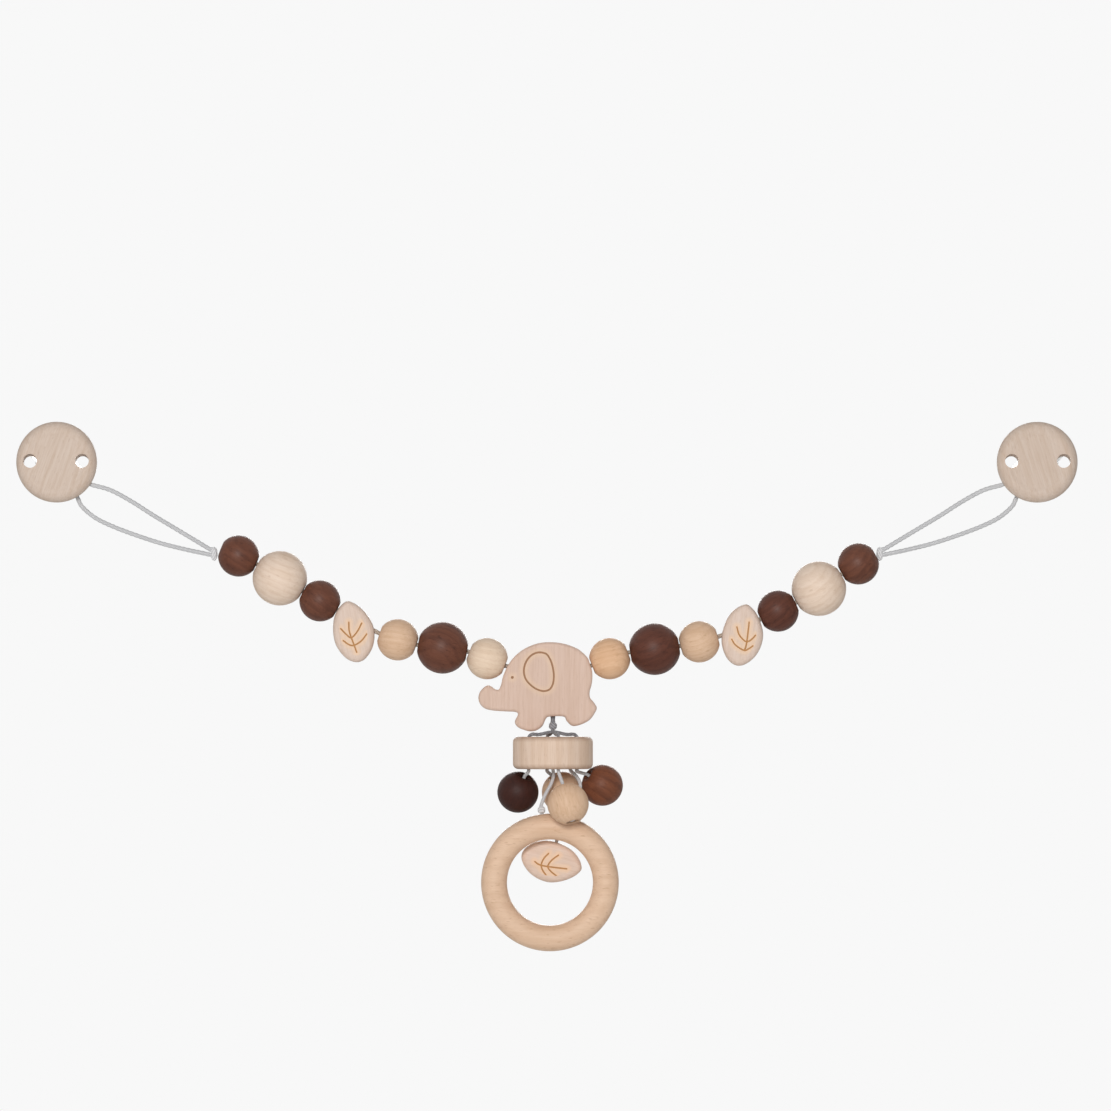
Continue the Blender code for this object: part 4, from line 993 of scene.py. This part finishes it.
def bead_profile(radius, bore, recessed):
    """The bead's section: down its ball, across the flat end, through the bore and back.

    Returns the points and how dark each is painted: the bored ends show end grain, and the bore, its mouths
    and the flats where beads meet also get painted shade, less of it in recessed beads.
    """
    half = bead_half_length(radius)
    rim = math.degrees(math.acos(BEAD_END_RADIUS / radius))
    ball = arc_points((0, 0), radius, rim, -rim, 46)
    if recessed:
        top = KNOT_RECESS_DEPTH - half
        ends = [(KNOT_RECESS_RADIUS, -half), (KNOT_RECESS_RADIUS, top), (bore, top)]
    else:
        ends = [(MOUTH_RADIUS, -half), (bore, MOUTH_DEPTH - half)]
    ends += [(bore, half - MOUTH_DEPTH), (MOUTH_RADIUS, half)]
    profile = np.vstack([ball[1:-1], eased(np.vstack([ball[-2:], ends, ball[:2]]), 0.0003)[5:-5]])
    # Painted shade with end grain: darkest in the bore, fading out just past the flat, and weaker in
    # recessed beads
    places = [bore, MOUTH_RADIUS, BEAD_END_RADIUS, BEAD_END_RADIUS + 0.0007]
    return profile, np.interp(profile[:, 0], places, [0.9, 0.7, 0.35, 0]) * (0.4 if recessed else 1)


def bead(node, radius, bore, kind, place, axis, seed, recessed=False, grain=None):
    profile, shade = bead_profile(radius, bore, recessed)
    mesh = turned_mesh(node, profile, place, axes_along(axis), shade=shade)
    material = wood(f"{node} {kind}", kind, place, axis if grain is None else grain, seed)
    dress(mesh, node, "turned", material)


# Loops and their knots


def loop_route(side):
    """The loop from its knot along the upper strand, round behind the bail and back."""
    slant = math.radians(CLIP_SLANT)
    toward = np.array([-math.cos(slant), 0, -math.sin(slant)])
    across = np.array([toward[2], 0, -toward[0]])
    depth = BAIL_RADIUS + CORD_RADIUS + CLEARANCE
    angles = np.concatenate([[0], np.linspace(0, math.pi, 9), [math.pi]])
    reaches = BAIL_REACH - BAIL_RADIUS - CORD_RADIUS - BEND_RADIUS * np.sin(angles)
    reaches[[0, -1]] = BAIL_REACH + BAIL_RADIUS + CORD_RADIUS
    bends = np.outer(np.cos(angles), BEND_RADIUS * across - depth * DEPTH)
    turn = np.array([CLIP_OUTWARD, 0, CLIP_RISE]) + np.outer(reaches, toward) + bends
    start = KNOT_LENGTH / 2 + CLEARANCE
    first, last = ((start, 0, LOOP_LIFT + way * LOOP_SPREAD / 2) for way in (1, -1))
    points = np.vstack([[first], UPPER_STRAND, turn, LOWER_STRAND[::-1], [last]])
    return catmull_rom(points, 16) * (side, 1, 1)


for side_name, side in (("left", -1), ("right", 1)):
    knot = box_centre(f"{side_name}_loop_knot")
    sizes = (KNOT_LENGTH / 2, KNOT_HEIGHT / 4, KNOT_HEIGHT / 2)
    tied = wound_knot(f"{side_name}_loop_knot", knot, WORLD_AXES, sizes, 0.9 * side, CORD_WHITE)
    path = knot + loop_route(side)
    tucked = SIDEWAYS * side * (KNOT_LENGTH / 2)
    whole = np.vstack([path[:1] - tucked, path, path[-1:] - tucked])
    loop, _ = braided(f"{side_name}_loop_cord", whole, CORD_RADIUS, CORD_LIGHT, rides=False)
    outwards = turned_axes(CLIP_SLANT if side < 0 else 180 - CLIP_SLANT)[0]
    bail = box_centre(f"{side_name}_clip_disc") + outwards * BAIL_REACH
    bail[1] = knot[1]
    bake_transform(loop)


# The chain's beads and the cord through them

# A leaf is threaded on after this many beads
LEAF_AFTER = 3


def chain_side(side_name, rows):
    """The side's beads from the elephant outwards: node, radius, wood, centre and outward bore."""
    found = []
    for i, (size, kind) in enumerate(rows, 1):
        node = f"{side_name}_bead_{i}"
        place, axis = joint_place(node + "_spin"), unit(JOINTS[node + "_spin"]["axis"])
        found.append((node, BEAD_RADII[size], kind, place, axis if axis @ (place - MIDDLE) > 0 else -axis))
    return found


def threaded_route(beads):
    """Points along the cord through a side's beads, from the elephant to the last bead's mouth.

    It has one point half-way between two beads, and both their mouths where the leaf is between.
    """
    route = []
    for i, (_, radius, _, place, bore) in enumerate(beads):
        half = bead_half_length(radius)
        inner = place - half * bore
        if i == LEAF_AFTER:
            route += [outer, inner]
        else:
            route.append((outer + inner) / 2 if i else inner)
        route += [place - bore * half / 2, place + bore * half / 2]
        outer = place + half * bore
    return [*route, outer]


LEFT_SIDE = chain_side("left", LEFT_CHAIN)
RIGHT_SIDE = chain_side("right", RIGHT_CHAIN)
for number, (node, radius, kind, place, bore) in enumerate([*LEFT_SIDE, *RIGHT_SIDE]):
    grain = bore + UP * (0.25 if number % 2 else -0.15) + DEPTH * (0.2 - 0.06 * number)
    bead(node, radius, BORE_RADIUS, kind, place, bore, 11.0 + 3.7 * number, grain=grain)

elephant_run = [TILT + SIDEWAYS * ELEPHANT_LENGTH / 4 * share for share in (-1, 0, 1)]
route = [*threaded_route(LEFT_SIDE)[::-1], *elephant_run, *threaded_route(RIGHT_SIDE)]
braided("main_cord", catmull_rom(route, 12), CORD_RADIUS, CORD_CREAM_AND_WARM_SHADE)


# The cords and knots over the pendant's disc

mouth = PENDANT_TOP - UP * BELLY_DROP
gather = mouth - UP * GATHER_KNOT_DROP
tuck = UP * GATHER_KNOT_RADIUS / 3
route = np.array([mouth + UP * HANGING_CORD_DEPTH, gather + tuck])
# The hanging cord, gather knot and sling are white cord painted grey as the shade under the elephant
braided("hanging_cord", route, HANGING_CORD_RADIUS, CORD_PAINTED_IN_SHADE)
sizes = (GATHER_KNOT_RADIUS * ROUND_KNOT_FULLNESS,) * 3
wound_knot("gather_knot", gather, WORLD_AXES, sizes, 0.8, CORD_PAINTED_IN_SHADE)


def disc_hole(turn):
    angle = math.radians(turn + DISC_HOLE_TURN)
    return np.array([DISC_HOLE_CIRCLE * math.cos(angle), DISC_HOLE_CIRCLE * math.sin(angle), 0])


def sling_arm(turn):
    """One of the two cords that cross under the gather knot and go down into the disc."""
    out = disc_hole(turn)
    top = -BELLY_DROP - GATHER_KNOT_DROP - GATHER_KNOT_RADIUS - CLEARANCE - THIN_CORD_RADIUS
    flat = -DISC_DROP + CLEARANCE + THIN_CORD_RADIUS
    bend = 2 * THIN_CORD_RADIUS
    half = [
        UP * top,
        out * SLING_FLAT_RADIUS / DISC_HOLE_CIRCLE + UP * flat,
        out * (1 - bend / DISC_HOLE_CIRCLE) + UP * flat,
        out + UP * (flat - bend),
        out + UP * (flat - 2 * bend),
    ]
    other = [point * (-1, -1, 1) for point in half]
    route = PENDANT_TOP + catmull_rom([*other[::-1], *half[1:]], 16)
    return braided_mesh("disc_sling", route, THIN_CORD_RADIUS, np.cross(unit(out), UP))[0]


sling = dress(sling_arm(0), "disc_sling", "braided", CORD_PAINTED_IN_SHADE)
sling_top = gather - UP * (GATHER_KNOT_RADIUS + CLEARANCE + THIN_CORD_RADIUS)
stub, _ = braided_mesh("sling_stub", np.array([sling_top, gather - tuck]), THIN_CORD_RADIUS)
carve(sling, [sling_arm(90), stub], "UNION")


# What hangs under the disc


def pendant_strand(name, turn, offset):
    """A strand out of a disc hole, through its bead to the knot in the bead's recess."""
    hole = BASE + disc_hole(turn)
    centre = BASE + offset
    direction = unit(centre - hole - UP * THIN_CORD_RADIUS)
    half = bead_half_length(BEAD_RADII["small"])
    route = [hole + UP * height for height in (STRAND_DEPTH, 0, -STRAND_DROP)]
    route.append(centre - direction * (half + CLEARANCE))
    bent = catmull_rom(route, 12)
    bent = bent[np.linalg.norm(bent - route[-1], axis=1) > THIN_CORD_RADIUS]
    knot = half - KNOT_RECESS_DEPTH + CLEARANCE
    steps = [-half - CLEARANCE, -half / 2, 0, knot - END_KNOT_RADIUS, half - CLEARANCE]
    path = np.vstack([bent, [centre + direction * step for step in steps]])
    start = distances_along(path)[-1] - (half - CLEARANCE - (knot - END_KNOT_RADIUS / 2))

    def swell(along, length):
        """Wider by half a sine over the knot's length at the cord's end."""
        share = np.clip((along - start) / (length - start), 0, 1)
        return 1 + (END_KNOT_RADIUS / THIN_CORD_RADIUS - 1) * np.sin(math.pi * share) ** 0.7

    across = unit(np.cross(direction, UP))
    braided(f"pendant_{name}_cord", path, THIN_CORD_RADIUS, CORD_WHITE, across, swell)
    return centre, direction


for number, (name, (kind, turn, offset)) in enumerate(PENDANT_BEADS.items()):
    place, direction = pendant_strand(name, turn, offset)
    bead(
        f"pendant_{name}_bead", BEAD_RADII["small"], PENDANT_BORE_RADIUS, kind, place, -direction,
        61.0 + 4.3 * number, recessed=True,
    )

ring_turn = math.radians(RING_HOLE_TURN)
ring_up = np.array([-math.sin(ring_turn), 0, math.cos(ring_turn)])
ring_centre = BASE + RING_TOP - UP * RING_RADIUS
ring_knot = ring_centre + ring_up * (RING_RADIUS + CLEARANCE + RING_KNOT_RADIUS)
route = [*(BASE + RING_CORD_POINTS), ring_knot + ring_up * (RING_KNOT_RADIUS + CLEARANCE), ring_knot]
braided("ring_cord", catmull_rom(route, 12), THIN_CORD_RADIUS, CORD_WHITE)
sizes = (RING_KNOT_RADIUS * ROUND_KNOT_FULLNESS,) * 3
knot = wound_knot("ring_knot", ring_knot, axes_along(ring_up)[[1, 0, 2]], sizes, 0.8, CORD_WHITE)
route = np.array([ring_knot, ring_knot - ring_up * (RING_KNOT_RADIUS + RING_HOLE_DEPTH)])
carve(knot, [braided_mesh("ring_knot_stub", route, THIN_CORD_RADIUS)[0]], "UNION")

leaf_up = turned_axes(HANGING_LEAF_TILT)[2]
leaf_centre = BASE + HANGING_LEAF_CENTRE
leaf_top = leaf_centre + leaf_up * LEAF_WIDTH / 2
leaf_bottom = leaf_centre - leaf_up * LEAF_WIDTH / 2
route = [*(BASE + LEAF_CORD_POINTS), leaf_top + leaf_up * CLEARANCE, leaf_centre]
route = np.vstack([catmull_rom(route, 12), leaf_bottom + leaf_up * LEAF_EDGE_RADIUS])
leaf_cord, path = braided("leaf_cord", route, THIN_CORD_RADIUS, CORD_WHITE)


# Leaves and the elephant

# Taken off all round, so that a leaf bead stays off its neighbours as it turns
LEAF_TRIM = 0.00018


def leaf(node, centre, degrees, veins, bore_start, bore_end, bore_radius, seed):
    half = np.array([LEAF_WIDTH / 2, LEAF_LENGTH / 2]) - LEAF_TRIM
    outline = even_steps(catmull_rom(LEAF_SHARES * half, 12, True), FACE_SPACING, True)
    grooves = [(catmull_rom(vein * half, 8), False, VEIN_WIDTH, VEIN_DEPTH) for vein in veins]
    axes = turned_axes(degrees)
    mesh = board_mesh(node, outline, LEAF_THICKNESS, LEAF_EDGE_RADIUS, centre, axes, grooves)
    burnt = (BURNT_LINE, BURNT_GLOW, VEIN_WIDTH / 2)
    material = wood(f"{node} board", "leaf", centre, axes[2], seed, burnt)
    bore = bore_end - bore_start
    drill = rod((bore_start + bore_end) / 2, bore / 2 + unit(bore) * LEAF_LENGTH / 2, bore_radius)
    carve(dress(mesh, node, "sawn", material), [drill])


for name, side, beads, veins in (
    ("left", -1, LEFT_SIDE, LEFT_VEINS), ("right", 1, RIGHT_SIDE, RIGHT_VEINS),
):
    (_, radius, _, inner, bore), (_, far_radius, _, outer, far_bore) = beads[LEAF_AFTER - 1 :][:2]
    centre = (inner + outer) / 2 + (side * LEAF_OUTWARDS[name], 0, -LEAF_DROPS[name])
    ends = inner + bore * bead_half_length(radius), outer - far_bore * bead_half_length(far_radius)
    leaf(name + "_leaf_bead", centre, side * LEAF_LEANS[name], veins, *ends, BORE_RADIUS, 83.0 + side)
leaf(
    "hanging_leaf", leaf_centre, 90 + HANGING_LEAF_TILT, HANGING_VEINS, leaf_bottom, leaf_top,
    PENDANT_BORE_RADIUS, 88.0,
)

shares, ear, eye = (np.array(part) * ELEPHANT_LENGTH for part in (ELEPHANT_SHARES, EAR_SHARES, EYE_SHARES))
outline = even_steps(catmull_rom(shares, 12, True), FACE_SPACING, True)
mesh = board_mesh(
    "elephant", outline, ELEPHANT_THICKNESS, ELEPHANT_EDGE_RADIUS, MIDDLE, WORLD_AXES,
    [(catmull_rom(ear, 8, True), True, EAR_LINE_WIDTH, EAR_LINE_DEPTH)], [(eye, EYE_RADIUS, EYE_DEPTH)],
)
material = wood("elephant board", "board", MIDDLE, UP, 95.0, (EAR_LINE, EAR_GLOW, EAR_LINE_WIDTH / 2))
elephant = dress(mesh, "elephant", "sawn", material)
carve(elephant, [
    rod(TILT, SIDEWAYS * ELEPHANT_LENGTH, BORE_RADIUS),
    rod(mouth, UP * BELLY_HOLE_DEPTH, BELLY_HOLE_RADIUS),
])


# Pendant disc and teething ring

half = DISC_THICKNESS / 2
corner, edge = DISC_RADIUS - DISC_EDGE_RADIUS, half - DISC_EDGE_RADIUS
flat = np.linspace(POLE_RADIUS, corner - POLE_RADIUS, 12)
profile = np.vstack([
    np.stack([flat, np.full(12, half)], axis=1),
    arc_points((corner, edge), DISC_EDGE_RADIUS, 90, 0, 14),
    np.stack([np.full(5, DISC_RADIUS), np.linspace(edge, -edge, 7)[1:-1]], axis=1),
    arc_points((corner, -edge), DISC_EDGE_RADIUS, 0, -90, 14),
    np.stack([flat[::-1], np.full(12, -half)], axis=1),
])
place = PENDANT_TOP - UP * (DISC_DROP + half)
# The rounded edges are painted darker, as shade on surfaces turned away from the light
rounded = np.clip((np.abs(profile[:, 1]) - edge) / DISC_EDGE_RADIUS, 0, 1) * (profile[:, 0] > corner)
mesh = turned_mesh("pendant_disc", profile, place, WORLD_AXES, DISC_SEGMENTS, False, 0.4 * rounded)
material = wood("pendant disc beech", "disc", place, UP, 101.0)
disc = dress(mesh, "pendant_disc", "turned", material)
holes = [*(disc_hole(turn) for turn in (0, 90, 180, 270)), np.zeros(3), (*LEAF_HOLE_PLACE, 0)]
carve(disc, [rod(place + hole, UP * DISC_THICKNESS, DISC_HOLE_RADIUS, 32) for hole in holes])

turn, around = full_turn(160), full_turn(48)
circle = np.stack([np.cos(turn), 0 * turn, np.sin(turn)], axis=1)[:, None]
reach = (RING_RADIUS - RING_TUBE_RADIUS + RING_TUBE_RADIUS * np.cos(around))[None, :, None]
grid = circle * reach + DEPTH * (RING_TUBE_RADIUS * np.sin(around))[None, :, None]
mesh = round_surface("teething_ring", grid + ring_centre, {"shade": np.zeros(grid.shape[:2])}, True)
material = wood("teething ring beech", "beech", ring_centre, SIDEWAYS, 107.0)
ring = dress(mesh, "teething_ring", "turned", material)
carve(ring, [rod(ring_centre + ring_up * RING_RADIUS, ring_up * RING_HOLE_DEPTH, RING_HOLE_RADIUS, 32)])


# Clips

# In the scene alone: how far out a clip's dish is flat, its depth, the vents' lean in degrees, and how dark
# the vents' walls are painted, which is painted shade inside the holes together with end grain
DISH_START = 0.0112
DISH_DEPTH = 0.0003
VENT_LEAN = 9
VENT_SHADE = 0.6
# The plate's two faces and the pin, back from the clip's place
PLATE_TOP = CLEARANCE + PLATE_THICKNESS - CLIP_FORWARD
PLATE_LOW = PLATE_TOP - PLATE_THICKNESS
PIN_TOP = PLATE_TOP + PIN_HEIGHT
# Roundings of the steel's edges and of each outline's corners, and how far joined parts overlap
PRESSED_EDGE = 0.00015
SHEARED_EDGE = 0.0002
PLATE_CORNER = 0.0014
ARM_CORNER = 0.0006
EAR_CORNER = 0.0017
LEVER_CORNER = 0.0042
NOSE_CORNER = 0.0011
PAD_CORNER = 0.0012
OVERLAP = 0.0001
# Spacings of points on pressed faces and along side outlines
PRESSED_SPACING = 0.0007
LEVER_SPACING = 0.0008
SIDE_SPACING = 0.0003
# The nose's notches and the pad's grooves: their spacing and radius
NOTCH_PITCH, NOTCH_RADIUS = 0.00105, 0.00032
RIB_PITCH, RIB_RADIUS = 0.0009, 0.00028
SCREW_ROWS = 22
THREAD_DEPTH = 0.00012


def rectangle(start, end, half):
    return [(start, -half), (end, -half), (end, half), (start, half)]


def rounded_outline(points, radius, spacing=0.0005):
    return even_steps(eased(points, radius, 7), spacing, True)


def plate(outline, thickness, radius, place, axes, spacing=0.0009):
    return board_mesh("plate", outline, thickness, radius, place, axes, spacing=spacing)


def clip_disc(node, slant, place, along):
    """The turned disc: a dished face, a rim rounded like a quarter ellipse and a flat back."""
    bulge, height = CLIP_RADIUS - CLIP_FACE_RADIUS, CLIP_THICKNESS - CLIP_BACK_EDGE
    rim = arc_points((0, 0), 1, 90, 0, 16) * (bulge, height) + (CLIP_FACE_RADIUS, CLIP_BACK_EDGE)
    reach = np.linspace(POLE_RADIUS, CLIP_FACE_RADIUS - 0.0003, 30)
    step = np.clip((reach - DISH_START) / (CLIP_FACE_RADIUS - DISH_START), 0, 1)
    face = np.stack([reach, CLIP_THICKNESS - DISH_DEPTH * (1 - step**2 * (3 - 2 * step))], axis=1)
    back = [(CLIP_RADIUS - 0.0002, 0.0003), (CLIP_RADIUS - CLIP_BACK_EDGE, 0)]
    back += [(radius, 0) for radius in np.linspace(CLIP_RADIUS - 0.002, POLE_RADIUS, 8)]
    centre = place - DEPTH * CLIP_FORWARD
    profile = np.vstack([face, rim, back])
    mesh = turned_mesh(node, profile, centre, np.array([SIDEWAYS, UP, -DEPTH]), DISC_SEGMENTS, False)
    grain = np.array([0.35 if slant < 90 else -0.3, 0, 1.0])
    material = wood(f"{node} board", "clip", centre, grain, 113.0 + slant / 10)
    middle = centre - DEPTH * CLIP_THICKNESS / 2
    reach = (DEPTH - UP * math.tan(math.radians(VENT_LEAN))) * 2 * CLIP_THICKNESS
    places = [middle + SIDEWAYS * VENT_OFFSET * way for way in (-1, 1)]
    # The vents' walls are painted darker, as the shade inside the holes
    vents = [rod(vent, reach, VENT_RADIUS, 48, VENT_SHADE) for vent in places]
    pilots = [
        rod(place + along * step + DEPTH * PLATE_TOP, DEPTH * SCREW_LENGTH, SCREW_RADIUS + CLEARANCE, 24)
        for step in SCREW_PLACES
    ]
    carve(dress(mesh, node, "turned", material), vents + pilots)


def clip_jaw(node, place, axes, steel):
    """The pressed plate with the bail's arms and bar, the pin's ears and the screws' holes."""
    along, _, aside = axes
    half = PLATE_WIDTH / 2
    side_on = axes[[0, 2, 1]]
    outline = rounded_outline(rectangle(-PLATE_JAW_REACH, PLATE_BAIL_REACH, half), PLATE_CORNER)
    middle = place + DEPTH * (PLATE_LOW + PLATE_THICKNESS / 2)
    mesh = plate(outline, PLATE_THICKNESS, PRESSED_EDGE, middle, axes)
    jaw = dress(mesh, node, "pressed", steel)
    root, tip = PLATE_BAIL_REACH - BAIL_ARM_WIDTH, BAIL_REACH + BAIL_RADIUS
    low, top = PLATE_LOW + OVERLAP, PLATE_LOW + EAR_HEIGHT
    arm = rounded_outline([
        (root, low), (0.0112, low), (0.0142, -0.0009), (tip, -0.0007), (tip, BAIL_RADIUS),
        (0.0128, BAIL_RADIUS), (0.0098, PLATE_TOP + OVERLAP), (root, PLATE_TOP - OVERLAP),
    ], ARM_CORNER, SIDE_SPACING)
    ear = rounded_outline([
        (-PIN_PLACE - EAR_WIDTH / 2, low), (-PIN_PLACE + EAR_WIDTH / 2, low),
        (-PIN_PLACE + 0.0019, top), (-PIN_PLACE - 0.0019, top),
    ], EAR_CORNER, SIDE_SPACING)
    added = []
    for way in (-1, 1):
        for outline, thickness, edge, inset in (
            (arm, BAIL_ARM_WIDTH, SHEARED_EDGE, 0), (ear, EAR_THICKNESS, PRESSED_EDGE, OVERLAP),
        ):
            middle = place + aside * way * (half - thickness / 2 - inset)
            added.append(plate(outline, thickness, edge, middle, side_on, PRESSED_SPACING))
    added.append(rod(place + along * BAIL_REACH, aside * (half - 0.0003), BAIL_RADIUS - 0.00005, 32))
    carve(jaw, added, "UNION")
    pin = place - along * PIN_PLACE + DEPTH * PIN_TOP
    holes = [rod(pin, aside * PLATE_WIDTH, PIN_RADIUS + CLEARANCE, 32)]
    for step in SCREW_PLACES:
        middle = place + along * step + DEPTH * (PLATE_TOP + PLATE_LOW) / 2
        holes.append(rod(middle, DEPTH * (PLATE_THICKNESS / 2 + 0.001), SCREW_RADIUS + CLEARANCE, 32))
    carve(jaw, holes)


def clip_lever(node, pin, axes, steel):
    """The handle, the knuckle round its pin and the nose that presses on the pad, with its teeth."""
    along, _, aside = axes
    half = LEVER_WIDTH / 2
    outline = rounded_outline(rectangle(0, LEVER_REACH, half), LEVER_CORNER)
    middle = pin + DEPTH * (LEVER_KNUCKLE_RADIUS - LEVER_THICKNESS / 2 + 0.0002)
    mesh = plate(outline, LEVER_THICKNESS, SHEARED_EDGE, middle, axes, LEVER_SPACING)
    lever = dress(mesh, node, "pressed", steel)
    end = -(PIN_HEIGHT - 2 * CLEARANCE - PAD_THICKNESS)
    corners = [(-0.0013, 0.0006), (-NOSE_RADIUS, end), (NOSE_RADIUS, end), (0.0013, 0.0006)]
    outline = rounded_outline(corners, NOSE_CORNER, SIDE_SPACING)
    nose = plate(outline, LEVER_WIDTH - 0.0006, SHEARED_EDGE, pin, axes[[0, 2, 1]], LEVER_SPACING)
    carve(lever, [rod(pin, aside * (half - OVERLAP), LEVER_KNUCKLE_RADIUS, 48), nose], "UNION")
    cuts = [rod(pin, aside * LEVER_WIDTH, PIN_RADIUS + CLEARANCE, 32)]
    for i in range(-4, 5):
        notch = pin + DEPTH * (end - 0.00008) + aside * i * NOTCH_PITCH
        cuts.append(rod(notch, along * 0.003, NOTCH_RADIUS, 12))
    carve(lever, cuts)


def clip_pin(node, place, axes, steel):
    inner = PLATE_WIDTH / 2 + CLEARANCE
    outer = inner + PIN_HEAD_THICKNESS
    half = [(0.00005, outer), (PIN_HEAD_RADIUS, outer), (PIN_HEAD_RADIUS, inner), (PIN_RADIUS, inner)]
    profile = eased([*half, *((radius, -height) for radius, height in half[::-1])], 0.0003, closed=False)
    dress(turned_mesh("pin", profile, place, axes, 40, False), node, "riveted", steel)


def clip_screw(node, place, axes, steel, turn):
    """A small domed screw with a crossed recess in its head."""
    dome = arc_points((0, 0), SCREW_HEAD_RADIUS, 88, 4, 12) * (1, SCREW_HEAD_THICKNESS / SCREW_HEAD_RADIUS)
    tip = -SCREW_LENGTH + 2 * CLEARANCE
    turns = np.linspace(-0.0008, tip + SCREW_RADIUS + 0.0002, SCREW_ROWS)
    thread = np.stack([SCREW_RADIUS - THREAD_DEPTH * (np.arange(SCREW_ROWS) % 2), turns], axis=1)
    profile = np.vstack([dome, [(SCREW_HEAD_RADIUS, 0), (SCREW_RADIUS, 0)], thread, [(0.0001, tip)]])
    mesh = turned_mesh("screw", profile, place, axes[[0, 2, 1]], 40, False)
    slots = []
    for degrees in (turn, turn + 90):
        angle = math.radians(degrees)
        along = axes[0] * math.cos(angle) + axes[2] * math.sin(angle)
        across = axes[0] * -math.sin(angle) + axes[2] * math.cos(angle)
        outline = rounded_outline(rectangle(-0.0011, 0.0011, 0.0002), 0.0001, 0.0002)
        middle = place + DEPTH * (SCREW_HEAD_THICKNESS + 0.0001)
        slots.append(plate(outline, 0.001, 0.00005, middle, np.array([along, DEPTH, across]), 0.0005))
    carve(dress(mesh, node, "driven", steel), slots)


def jaw_pad(node, place, axes, material):
    """The moulded pad on the plate, with grooves across its face."""
    along, _, aside = axes
    outline = rounded_outline(rectangle(-PAD_LENGTH / 2, PAD_LENGTH / 2, PAD_WIDTH / 2), PAD_CORNER)
    mesh = plate(outline, PAD_THICKNESS, 0.00025, place, axes, PRESSED_SPACING)
    face = place + DEPTH * (PAD_THICKNESS / 2 + 0.00012)
    ribs = [rod(face + along * i * RIB_PITCH, aside * PAD_WIDTH, RIB_RADIUS, 12) for i in range(-3, 4)]
    carve(dress(mesh, node, "moulded", material), ribs)


for side_name, slant in (("left", CLIP_SLANT), ("right", 180 - CLIP_SLANT)):
    place = box_centre(side_name + "_clip_disc")
    place[1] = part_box(side_name + "_clip_disc")[1][1] + CLIP_FORWARD
    axes = turned_axes(slant)
    clip_disc(side_name + "_clip_disc", slant, place, axes[0])
    steel = steel_material(f"{side_name} clip steel", place, 5.0)
    clip_jaw(side_name + "_clip_jaw", place, axes, steel)
    pin = place - axes[0] * PIN_PLACE + DEPTH * PIN_TOP
    clip_lever(side_name + "_clip_lever", pin, axes, steel)
    clip_pin(side_name + "_clip_pin", pin, axes, steel)
    for i, step in enumerate(SCREW_PLACES):
        seat = place + axes[0] * step + DEPTH * (PLATE_TOP + CLEARANCE)
        clip_screw(f"{side_name}_clip_screw_{i + 1}", seat, axes, steel, 20 + 35 * i)
    seat = place - axes[0] * PIN_PLACE + DEPTH * (PLATE_TOP + CLEARANCE + PAD_THICKNESS / 2)
    jaw_pad(side_name + "_jaw_pad", seat, axes, pad_material(side_name + " pad plastic"))


# Light, floor and background

FLOOR_HEIGHT = -0.360
FLOOR_HALF = 6.0
AMBIENT = 0.34
WHITE = srgb(248, 248, 248)


def stage_material():
    """A pale floor that keeps the toy's shadow near it and fades into the white background."""
    material, tree, shader = new_material("pale floor")
    place = object_place(tree)
    mottle = mapped(tree, noise(tree, place, 30, 1.0, 3), 0.3, 0.7)
    fill_inputs(tree, shader, {
        "Base Color": mixed(tree, mottle, srgb(244, 244, 243), srgb(247, 247, 246)),
        "Roughness": 0.9, "Specular IOR Level": 0.1,
    })
    seen = add_node(tree, "LightPath").outputs["Is Camera Ray"]
    share = maths(tree, "MULTIPLY", mapped(tree, vector_length(tree, place), 0.25, 0.75, 0.35, 1), seen)
    glow = add_node(tree, "Emission", {"Color": WHITE, "Strength": 1.0})
    both = add_node(tree, "MixShader", {0: share, 1: shader.outputs[0], 2: glow.outputs[0]})
    fill_inputs(tree, tree.nodes["Material Output"], {"Surface": both.outputs[0]})
    return material


mesh = bpy.data.meshes.new("floor")
corners = [(x, y, 0) for x, y in rectangle(-FLOOR_HALF, FLOOR_HALF, FLOOR_HALF)]
mesh.from_pydata(corners, [], [(0, 1, 2, 3)])
mesh.materials.append(stage_material())
floor = bpy.data.objects.new("floor", mesh)
floor.location = (FRAME_MIDDLE[0], 0, FLOOR_HEIGHT)
bpy.context.scene.collection.objects.link(floor)
floor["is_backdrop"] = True

world = bpy.data.worlds.new("studio")
bpy.context.scene.world = world
world.use_nodes = True
tree = world.node_tree
tree.nodes.clear()
rays = add_node(tree, "LightPath").outputs
seen = maths(tree, "ADD", rays["Is Camera Ray"], rays["Is Glossy Ray"])
seen = maths(tree, "MINIMUM", maths(tree, "ADD", seen, rays["Is Transmission Ray"]), 1.0)
strength = mapped(tree, seen, 0.0, 1.0, AMBIENT, 1.0, "LINEAR")
background = add_node(tree, "Background", {"Color": WHITE, "Strength": strength})
add_node(tree, "OutputWorld", {"Surface": background.outputs[0]})


def soft_box(name, place, size, power):
    """A studio lamp that faces the toy."""
    data = bpy.data.lights.new(name, "AREA")
    data.shape = "RECTANGLE"
    data.size, data.size_y = size
    data.energy = power
    lamp = bpy.data.objects.new(name, data)
    lamp.location = place
    facing = Vector((FRAME_MIDDLE[0], 0.0, -0.08)) - lamp.location
    lamp.rotation_euler = facing.to_track_quat("-Z", "Y").to_euler()
    bpy.context.scene.collection.objects.link(lamp)


soft_box("key light", (-0.15, -3.2, 0.55), (0.8, 0.7), 59)
soft_box("back light", (0.3, 1.6, 0.25), (0.9, 0.6), 14.3)

bpy.context.scene.view_settings.view_transform = "Standard"

low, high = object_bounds()
sizes = {"cad": [list(cad_low), list(cad_high)], "visual": [list(low), list(high)]}
